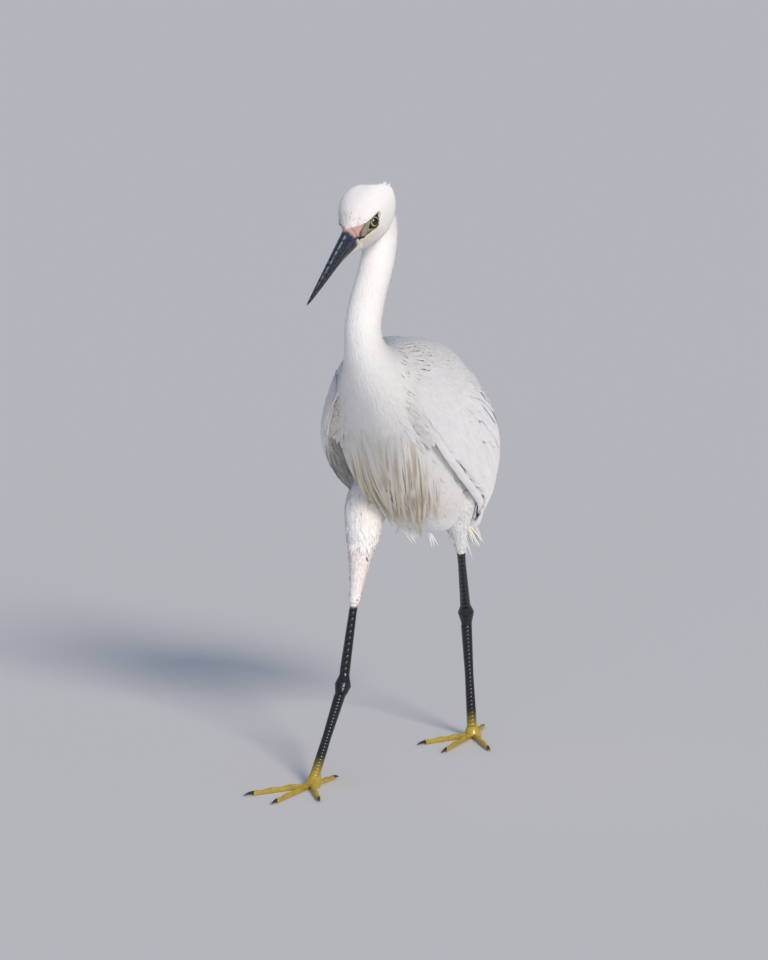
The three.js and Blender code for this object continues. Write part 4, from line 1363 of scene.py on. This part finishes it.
def wing_feathers(side_name, seed):
    """Vanes over the wing's outer face, curving a little toward its lower edge, and two rows of sixty
    along that edge, which close it."""
    surface = wings[side_name]
    k, share, length = wing_rows(seed)
    rng = np.random.default_rng(seed + 1)
    edge = np.linspace(0, 1, 60)
    k = np.concatenate([k, 0.2 + 0.54 * edge, 0.2 + 0.45 * edge])
    share = np.concatenate([0.05 + 0.81 * share, 0.865 + 0 * edge, 0.955 + 0 * edge])
    length = np.concatenate([length, 20 + 22 * edge, 26 + 24 * edge])
    count = len(k)
    middle = share < 0.863
    jitter = np.where(middle, rng.standard_normal(count), 0.1 * rng.standard_normal(count))
    slant = 0.16 * np.sin(math.pi * np.clip(share / 0.9, 0, 1)) * middle + 0.05 * jitter
    points, normals = lines(surface, (k, share), length, slant, 0.1 * jitter, RISE["wing"], VANE_RINGS,
                            (-0.06, 1.02))
    lifted = 0.9 * ease(0.68, 0.86, share) * ease(0.15, 0.4, k) * (share < 0.9) - 0.5 * (share > 0.9)
    points = points + normals * lifted[:, None, None]
    half_width = np.where(middle, 1.7 + 0.125 * length, 3.2)
    colour = mix(np.broadcast_to(LILAC, (count, 3)), WHITE, rng.random(count))
    coat(f"feathers_wing_{side_name}", VANE, (points, normals), (k, share), WING_SPANS, length, half_width,
         0.11 + 0.0012 * length, colour, seed + 2, 0.03)


def wing_lining(side_name, seed):
    """Vanes on the face that looks at the body, where a wing that is held off shows it."""
    def surface(k, share, inset=0.0):
        return wings[side_name](k, share, wing_depth(k, np.clip(share, 0, 1)) + 0.4 - inset)

    roots = scatter(surface, *LINING_SPANS, SPACING["lining"], seed)
    rng = np.random.default_rng(seed + 1)
    count = len(roots[0])
    length = np.interp(roots[0], *LINING_LONG) * rng.uniform(0.85, 1.15, count)
    aim = rng.normal(0.12, 0.08, count)
    line = lines(surface, roots, length, aim, 0 * length, RISE["lining"], VANE_RINGS, (0.0, 1.0))
    coat(f"feathers_lining_{side_name}", VANE, line, roots, LINING_SPANS, length, 1.7 + 0.1 * length, 0.12,
         np.broadcast_to(WHITE, (count, 3)), seed + 2, 0.03)


wing_feathers("left", 51)
wing_feathers("right", 61)
wing_lining("right", 171)


# %% Mantle and shoulder feathers
MANTLE_SPANS = ((0.8, 7.9), (math.radians(-46), math.radians(84)))
# angle and the row past which the mantle covers it; row and the angle above which it does
MANTLE_FRONT = ([-46, -26, 0, 20], [5.85, 5.95, 6.0, 5.9])
MANTLE_TOP = ([0.8, 3, 4.2, 5.2, 5.9], [46, 40, 35, 31, 14])


def mantle_feathers(name, seed):
    """Soft fans that hide the wing's front edge, thinning out over it, and run up onto the back. They lie
    flat beside the neck and rise over the wing."""
    def covers(u, angle, points):
        degrees = np.degrees(angle)
        front = u > np.interp(degrees, *MANTLE_FRONT)
        return front | (degrees > np.interp(u, *MANTLE_TOP))

    surface = mantles[name]
    roots = scatter(surface, *MANTLE_SPANS, SPACING["mantle"], seed, covers)
    rng = np.random.default_rng(seed + 1)
    long = 15 + 8 * ease(6.0, 3.0, roots[0])
    slant = 0.16 * ease(20, 50, np.degrees(roots[1])) + rng.normal(0, 0.1, len(roots[0]))
    place, roots = fan_out(rng, roots, FAN, 0.08)
    length = fans(long, FAN) * (1 - 0.2 * place**2) * rng.uniform(0.9, 1.1, len(place))
    tips = 0.6 + 0.5 * ease(6.9, 6.1, roots[0])[:, None]
    aim = math.pi + fans(slant, FAN) + 0.36 * place
    line = lines(surface, roots, length, aim, -0.5 * place, (-0.8, tips), LOCK_RINGS, (0.0, 8.4))
    coat(f"feathers_mantle_{name}", LOCK, line, roots, MANTLE_SPANS, length, LOCK_WIDE, 0.12,
         feather_tone(surface(*roots)), seed + 2, 0.03)


mantle_feathers("left", 101)
mantle_feathers("right", 111)

# %% [markdown]
# ## Thighs and tail
# The thighs wear loose feathers that end in a ragged edge above the bare shin. The tail is a short
# fan of stiff feathers, the middle pair on top.


# %% Thigh feathers
THIGH_SPANS, THIGH_FAN = ((0.04, 0.98), ROUND), 5
PINKISH, SPECKLE = linear("ead2ca"), linear("5c4b48")


def thigh_feathers(name, seed, loose_to):
    """Fans of five locks down the thigh: loose as far as loose_to, with a ragged edge there, and then
    very short, pinkish and speckled where dark skin shows between them."""
    def outside(t, angle, points):
        return ~inside_body(points, 0.5)

    surface = thighs[name]
    roots = scatter(surface, *THIGH_SPANS, SPACING["thigh"], seed, outside)
    rng = np.random.default_rng(seed + 1)
    count, t = len(roots[0]), roots[0]
    short = ease(loose_to - 0.03, loose_to + 0.01, t)
    long = (13 - 9.5 * short - 1.2 * ease(0.7, 1.0, t)) * rng.uniform(0.75, 1.25, count)
    ragged = (t > loose_to - 0.1) & (t < loose_to - 0.02) & (rng.random(count) < 0.35)
    long = np.where(ragged, long * 1.35, long)
    turned = rng.normal(0, 0.2, count)
    place, roots = fan_out(rng, roots, THIGH_FAN, 0.1)
    length = fans(long, THIGH_FAN) * (1 - 0.2 * place**2)
    close = fans(short, THIGH_FAN)
    lifted = (0.1 + 0.9 * rng.random(len(place)) ** 3) * (1 - 0.8 * close) + 0.8 * fans(ragged, THIGH_FAN)
    aim = fans(turned, THIGH_FAN) + 0.4 * place
    points, normals = lines(surface, roots, length, aim, -0.4 * place, RISE["thigh"], LOCK_RINGS,
                            (0.0, 1.06))
    s = np.linspace(0, 1, LOCK_RINGS + 1)[None, :, None]
    points = points + normals * s**2 * lifted[:, None, None]
    speckled = (rng.random(count) < 0.22 * ease(loose_to, 1.0, t)) & (short > 0.5)
    colour = mix(feather_tone(surface(*roots)), PINKISH, 0.5 * close)
    colour = mix(colour, SPECKLE, 0.8 * fans(speckled, THIGH_FAN))
    coat(f"feathers_thigh_{name}", LOCK, (points, normals), roots, THIGH_SPANS, length, 1.25 - 0.7 * close,
         0.12, colour, seed + 2, 0.04)


thigh_feathers("left", 71, 0.97)
thigh_feathers("right", 81, 0.58)


# %% Tail feathers
# direction of the tail, and up from it
TAIL_RUN = TAIL_TIP - TAIL_ROOT
TAIL_UP = unit(np.array([0, -TAIL_RUN[2], TAIL_RUN[1]]))
# first and last place along and across, feathers to a layer, and coverts
TAIL_SPANS, TAIL_WIDE, TAIL_COVERTS = ((-0.2, 1.0), (-1.0, 1.0)), 12, 60
# start, length and height of the two layers of tail feathers, and the share of the width they take
TAIL_LAYERS = [(0.0, 68, 0.0, 0.72), (0.04, 64, -1.6, 0.8)]


def tail_surface(a, b, inset=0.0):
    """Arched fan: a runs from the root to the tip, b across it from -1 to 1; the middle is highest."""
    a, b = np.broadcast_arrays(np.asarray(a, float), b)
    half = np.interp(a, [0, 0.3, 0.7, 1], [10, 13, 14, 12])
    lift = 2.0 - 3.0 * b**2 - inset
    return TAIL_ROOT + TAIL_RUN * a[..., None] + LEFT * (half * b)[..., None] + TAIL_UP * lift[..., None]


def tail_feathers(seed):
    """Two layers of twelve tail feathers, and short coverts over their roots, above and below."""
    rng = np.random.default_rng(seed)
    places = np.linspace(-1, 1, TAIL_WIDE)
    order, low = np.abs(places), np.arange(TAIL_COVERTS) % 2
    a = [at + 0 * places for at, _, _, _ in TAIL_LAYERS] + [rng.random(TAIL_COVERTS) * 0.35 - 0.1]
    b = [wide * places for _, _, _, wide in TAIL_LAYERS] + [1.6 * rng.random(TAIL_COVERTS) - 0.8]
    length = [long * (1 - 0.05 * order) * rng.uniform(0.86, 1.0, TAIL_WIDE) for _, long, _, _ in TAIL_LAYERS]
    length += [rng.uniform(16, 30, TAIL_COVERTS)]
    height = [deep - order for _, _, deep, _ in TAIL_LAYERS] + [np.where(low, 1.0, -4.5)]
    a, b, length, height = (np.concatenate(rows) for rows in (a, b, length, height))
    points, normals = lines(tail_surface, (a, b), length, 0 * a, 0 * a, RISE["tail"], VANE_RINGS,
                            (-0.2, 1.05))
    points = points + TAIL_UP * height[:, None, None]
    half_width = np.where(length > 40, 4.2, 3.2)
    coat("feathers_tail", VANE, (points, normals), (a, b), TAIL_SPANS, length, half_width, 0.3,
         np.broadcast_to(WHITE, (len(a), 3)), seed + 1, 0.1)


tail_feathers(91)

# %% [markdown]
# ## Breast plumes and wisps
# From the lower breast hang long, loose plumes in clumps: barbs that don't hook together, stained
# cream. Each clump here is nine strands that start side by side and meet at one point.


# %% Breast plumes
# clumps, and strands to a clump
CLUMPS, STRANDS = 112, 9
# share of a turn between one clump and the next, around and along; no two fall in line
AROUND_STEP, ALONG_STEP = 0.6180339887, 0.7548776662
PLUME_SPANS = ((3.5, 7.2), (math.radians(-145), math.radians(-35)))


def plume_clumps(seed):
    """Roots, lengths and directions of the clumps, and which of them are the long, loose ones on top;
    all drift toward the middle."""
    rng = np.random.default_rng(seed)
    order = np.arange(CLUMPS)
    top = order % 3 == 0
    angle = np.radians(-82 + 42 * (2 * ((0.5 + order * AROUND_STEP) % 1) - 1))
    side = np.sin(angle + math.pi / 2)
    u = 6.85 - np.where(top, 0.9, 1.9) * ((0.37 + order * ALONG_STEP) % 1) - 0.5 * np.abs(side)
    length = np.where(top, rng.uniform(62, 102, CLUMPS), rng.uniform(30, 56, CLUMPS))
    drift = 0.42 * np.maximum(side, -0.2) + rng.normal(0, 0.05, CLUMPS)
    return u, angle, length, drift, top


def breast_plumes(seed):
    """Nine strands to a clump; a strand's turn brings it from its place in the clump to the clump's
    tip, as the sine of the turn is that place over the length."""
    u, angle, length, drift, top = (fans(values, STRANDS) for values in plume_clumps(seed))
    rng = np.random.default_rng(seed + 1)
    place = fan_spread(CLUMPS, STRANDS)
    length = length * rng.uniform(0.86, 1.0, len(place))
    sideways = np.where(top, 1.7, 2.6) * place
    angle = angle + sideways / slopes(body, u, angle)[1]
    u = u + rng.uniform(-0.06, 0.06, len(u))
    turn = np.arcsin(np.clip(sideways / length, -0.5, 0.5))
    points, normals = lines(body, (u, angle), length, math.pi + drift + 1.6 * turn, -1.3 * turn,
                            RISE["plume"], STRAND_RINGS, (-0.2, 8.0))
    s = np.linspace(0, 1, STRAND_RINGS + 1)[None, :, None]
    free = fans(rng.random(CLUMPS) ** 3, STRANDS)[:, None, None]
    raised = (1.5 * top[:, None, None] + 1.2 * free) * s**0.5
    points = points - UP * 7 * free * s**3 + normals * raised
    warm = fans(rng.random(CLUMPS), STRANDS)[:, None]
    # short clumps below go from cream toward the stain, whose darkness is also painted shade under the long
    # ones
    tips = np.where(top[:, None], PLUME + (BUFF - PLUME) * warm**2, CREAM + (STAIN_AND_SHADE - CREAM) * 0.7 * warm)
    colour = mix(feather_tone(body(u, angle)), WHITE, 0.75)
    coat("breast_plume_strands", STRAND, (points, normals), (u, angle), PLUME_SPANS, length, 0.38, 0.2,
         colour, seed + 2, 0.02, "breast_plumes", ("breast_plumes",), tips)


breast_plumes(121)


# %% Wisps
# strands to a tuft
TUFT = 5
# row, angle in degrees, direction and length of each tuft of the belly
BELLY_TUFTS = [
    (3.3, -104, (0.5, 0.2, -0.5), 20), (3.1, -98, (0.3, 0.4, -0.6), 15), (2.7, -84, (0.1, 0.3, -0.8), 16),
    (2.9, -110, (-0.3, 0.3, -0.6), 14), (0.9, -75, (0.25, 0.35, -1), 30), (0.7, -95, (0, 0.5, -1), 26),
    (0.8, -60, (0.5, 0.4, -1), 28), (0.6, -110, (-0.3, 0.4, -1), 24), (0.5, -80, (0.2, 0.7, -1), 30)]
# the same of the crown
CROWN_TUFTS = [(6.0, 70, -HEAD_FORWARD - 0.1 * HEAD_UP, 4), (6.2, 52, -HEAD_FORWARD + 0.1 * HEAD_LEFT, 4),
               (6.4, 88, -HEAD_FORWARD - 0.2 * HEAD_UP, 5)]
# direction toward which the wisps turn their upper faces
SEEN_FROM = np.array([0.3, -1.0, 0.5])


def wisps(name, surface, inset, tufts, seed):
    """Small loose tufts: five strands from each root, that part by a few degrees and sag as the square
    of the way along. In the map they lie in the order of their numbers."""
    rng = np.random.default_rng(seed)
    roots = [surface(np.array(row), math.radians(degrees), inset) for row, degrees, _, _ in tufts]
    starts = np.repeat(np.array(roots), TUFT, 0)
    way = np.repeat(np.array([tuft[2] for tuft in tufts], float), TUFT, 0)
    way = unit(way + rng.normal(0, 0.16, way.shape))
    length = np.repeat([float(tuft[3]) for tuft in tufts], TUFT) * rng.uniform(0.7, 1.0, len(starts))
    s = np.linspace(0, 1, WISP_RINGS + 1)[None, :, None]
    points = starts[:, None] + (way[:, None] * s - 0.12 * UP * s**2) * length[:, None, None]
    normals = np.broadcast_to(unit(SEEN_FROM - (way @ SEEN_FROM)[:, None] * way)[:, None], points.shape)
    order = np.arange(len(starts)) / len(starts)
    coat(name, WISP, (points, normals), (order, order), ((0, 1), (0, 1)), length, 0.4 + 0.006 * length, 0.2,
         np.broadcast_to(mix(WHITE, CREAM, 0.5), starts.shape), seed + 1, 0.05)


wisps("feather_wisps_belly", body, 0.8, BELLY_TUFTS, 131)
wisps("feather_wisps_crown", head, 0.3, CROWN_TUFTS, 141)

# %% [markdown]
# ## Scutes
# The front of each leg and the top of each toe carry broad overlapping plates of horn. Each plate
# here is a small closed patch of the leg's own surface, lifted most at its lower edge.


# %% Plates along a surface
# points along and across a plate, and how far it runs over the next one
PLATE_LONG, PLATE_WIDE, OVERLAP = 3, 5, 1.25
# distance from plate to plate along shin and tarsus as a share of the bone, and along a toe, mm
SHIN_STEP, TARSUS_STEP, TOE_STEP = 0.034, 0.031, 2.7


def plate_faces():
    """Corners of one closed plate: a patch outside, the same inside and turned over, and the wall between
    their edges. The inside's points are numbered after the outside's."""
    half = PLATE_LONG * PLATE_WIDE
    number = np.arange(half).reshape(PLATE_LONG, PLATE_WIDE)
    cell = np.stack([number[:-1, :-1], number[:-1, 1:], number[1:, 1:], number[1:, :-1]], -1).reshape(-1, 4)
    edge = np.concatenate([number[0], number[1:, -1], number[-1, -2::-1], number[-2:0:-1, 0]])
    after = np.roll(edge, -1)
    wall = np.stack([after, edge, edge + half, after + half], -1)
    return np.concatenate([cell, cell[:, ::-1] + half, wall])


def plates(surface, starts, step, reach, height, seed):
    """Closed patches on a surface: a from each start over one step and a quarter, b within reach of the
    front; lifted by height times 0.3 + 0.7 p, less near the sides."""
    rng = np.random.default_rng(seed)
    p, q = grid(np.linspace(0, 1, PLATE_LONG), np.linspace(-1, 1, PLATE_WIDE))
    a = starts[:, None, None] + step * OVERLAP * p
    wobble = 1 + 0.12 * (rng.random(len(starts)) - 0.5)[:, None, None]
    b = math.pi / 2 + reach * q * wobble
    lift = height * (0.3 + 0.7 * p) * (1 - 0.75 * q**4)
    outside, inside = surface(a, b, -lift + 0 * a), surface(a, b, 0.5 + 0 * a)
    points = np.concatenate([one.reshape(len(starts), -1, 3) for one in (outside, inside)], 1)
    one = plate_faces()
    first = points[0][one]
    turned = np.cross(first[:, 1] - first[:, 0], first[:, 2] - first[:, 0])
    if (turned * (first[:, 0] - points[0].mean(0))).sum() < 0:
        one = one[:, ::-1]
    corners = (one.reshape(-1)[None] + points.shape[1] * np.arange(len(starts))[:, None]).reshape(-1)
    return points.reshape(-1, 3), corners, np.full(len(corners) // 4, 4)


def scutes(slot, kind, rows, seed):
    """One piece of all the plates of a kind, in the colours of the skin below."""
    made = [plates(*row, seed) for row in rows]
    starts = np.cumsum([0] + [len(points) for points, _, _ in made])
    corners = np.concatenate([one[1] + start for one, start in zip(made, starts)])
    points = np.concatenate([one[0] for one in made])
    piece = new_piece(kind, points, corners, np.concatenate([one[2] for one in made]), skin_tone(points))
    finish_piece(piece, scale, slot)


legs = [(shanks[name], np.arange(1.1, 1.9, TARSUS_STEP), TARSUS_STEP, 1.15, 0.22) for name in SIDES]
legs += [(shanks[name], np.arange(leg["feathers"] + 0.03, 0.9, SHIN_STEP), SHIN_STEP, 0.95, 0.16)
         for name, leg in LEGS.items()]
scutes("leg_scales", "scutes_legs", legs, 151)
toes = [(toe(name, toe_name), np.arange(0.08, 0.95, TOE_STEP / long), TOE_STEP / long, 1.0, 0.16)
        for name in SIDES for toe_name, (_, long) in TOES.items()]
scutes("foot_scales", "scutes_toes", toes, 161)

# %% [markdown]
# ## Stage
# The floor is a wide level sheet of paper, so that the bird can be looked at from any side. A curved
# backdrop would hide it from behind. A soft lamp on the camera's right stands for the low sun, a
# very wide one beside the camera for the bright haze, and a pale sky fills the shadows.

# %% Floor, lamps and camera
# how far the floor reaches on each side, mm, and how high a grain of its paper is, m
FLOOR_REACH, PAPER_GRAIN = 40000.0, 0.001
PAPER, SKY, SUN, FILL = "dedddb", "cbd9f2", "fff3e6", "dfe8ff"
# the camera's turn from straight ahead and height in degrees, distance in metres and place looked at
AZIMUTH, ELEVATION, DISTANCE = 22, 9.5, 6.0
TARGET = (np.array([-16.8, -119.4, 229.8]) + shift) * MM
# focal length and sensor's width, mm, and the farthest thing seen, m
LENS, SENSOR, FARTHEST = 281.25, 36, 100


def stage_floor():
    """A level sheet of paper that fills the camera's view and reaches far past the bird on all sides."""
    corners = FLOOR_REACH * np.array([[-1, -1, 0], [1, -1, 0], [1, 1, 0], [-1, 1, 0]])
    return new_piece("floor", corners, np.arange(4), np.array([4]))


floor = stage_floor()
paper, paper_tree, paper_shader = new_material("matt paper, pale grey", Roughness=0.9)
paper_shader.inputs["Base Color"].default_value = (*linear(PAPER), 1)
grain = add_node(paper_tree, "ShaderNodeTexNoise", None, Scale=400.0)
relief(paper_tree, paper_shader, grain.outputs["Fac"], 0.05, PAPER_GRAIN)
floor.data.materials.append(paper)


def direction(azimuth, elevation):
    """From the bird toward a place at an azimuth from straight ahead, to its left, and an elevation."""
    a, e = math.radians(azimuth), math.radians(elevation)
    return np.array([math.sin(a) * math.cos(e), -math.cos(a) * math.cos(e), math.sin(e)])


def facing(place, target):
    """Matrix of a camera or lamp at a place that looks at a target with its top up."""
    back = unit(place - target)
    right = unit(np.cross([0, 0, 1.0], back))
    up = np.cross(back, right)
    return Matrix([[right[k], up[k], back[k], place[k]] for k in range(3)] + [[0, 0, 0, 1]])


camera = bpy.data.objects.new("camera", bpy.data.cameras.new("camera"))
camera.data.lens, camera.data.sensor_width, camera.data.clip_end = LENS, SENSOR, FARTHEST
camera.matrix_world = facing(TARGET + DISTANCE * direction(AZIMUTH, ELEVATION), TARGET)
bpy.context.scene.collection.objects.link(camera)
bpy.context.scene.camera = camera


def lamp(name, azimuth, elevation, spread, strength, colour):
    """Even light from far away, as through a large cloth; spread is the angle it fills, in degrees."""
    data = bpy.data.lights.new(name, "SUN")
    data.angle, data.energy, data.color = math.radians(spread), strength, linear(colour)
    made = bpy.data.objects.new(name, data)
    made.matrix_world = facing(TARGET + direction(azimuth, elevation), TARGET)
    bpy.context.scene.collection.objects.link(made)


lamp("sun side", 48, 30, 16, 2.05, SUN)
lamp("soft fill", 24, 6, 50, 0.9, FILL)
world = bpy.data.worlds.new("pale sky")
world.use_nodes = True
sky = world.node_tree.nodes["Background"]
sky.inputs["Color"].default_value = (*linear(SKY), 1)
sky.inputs["Strength"].default_value = 0.45
bpy.context.scene.world = world
bpy.context.scene.view_settings.view_transform = "Standard"
print("camera at", (TARGET + DISTANCE * direction(AZIMUTH, ELEVATION)).round(3))
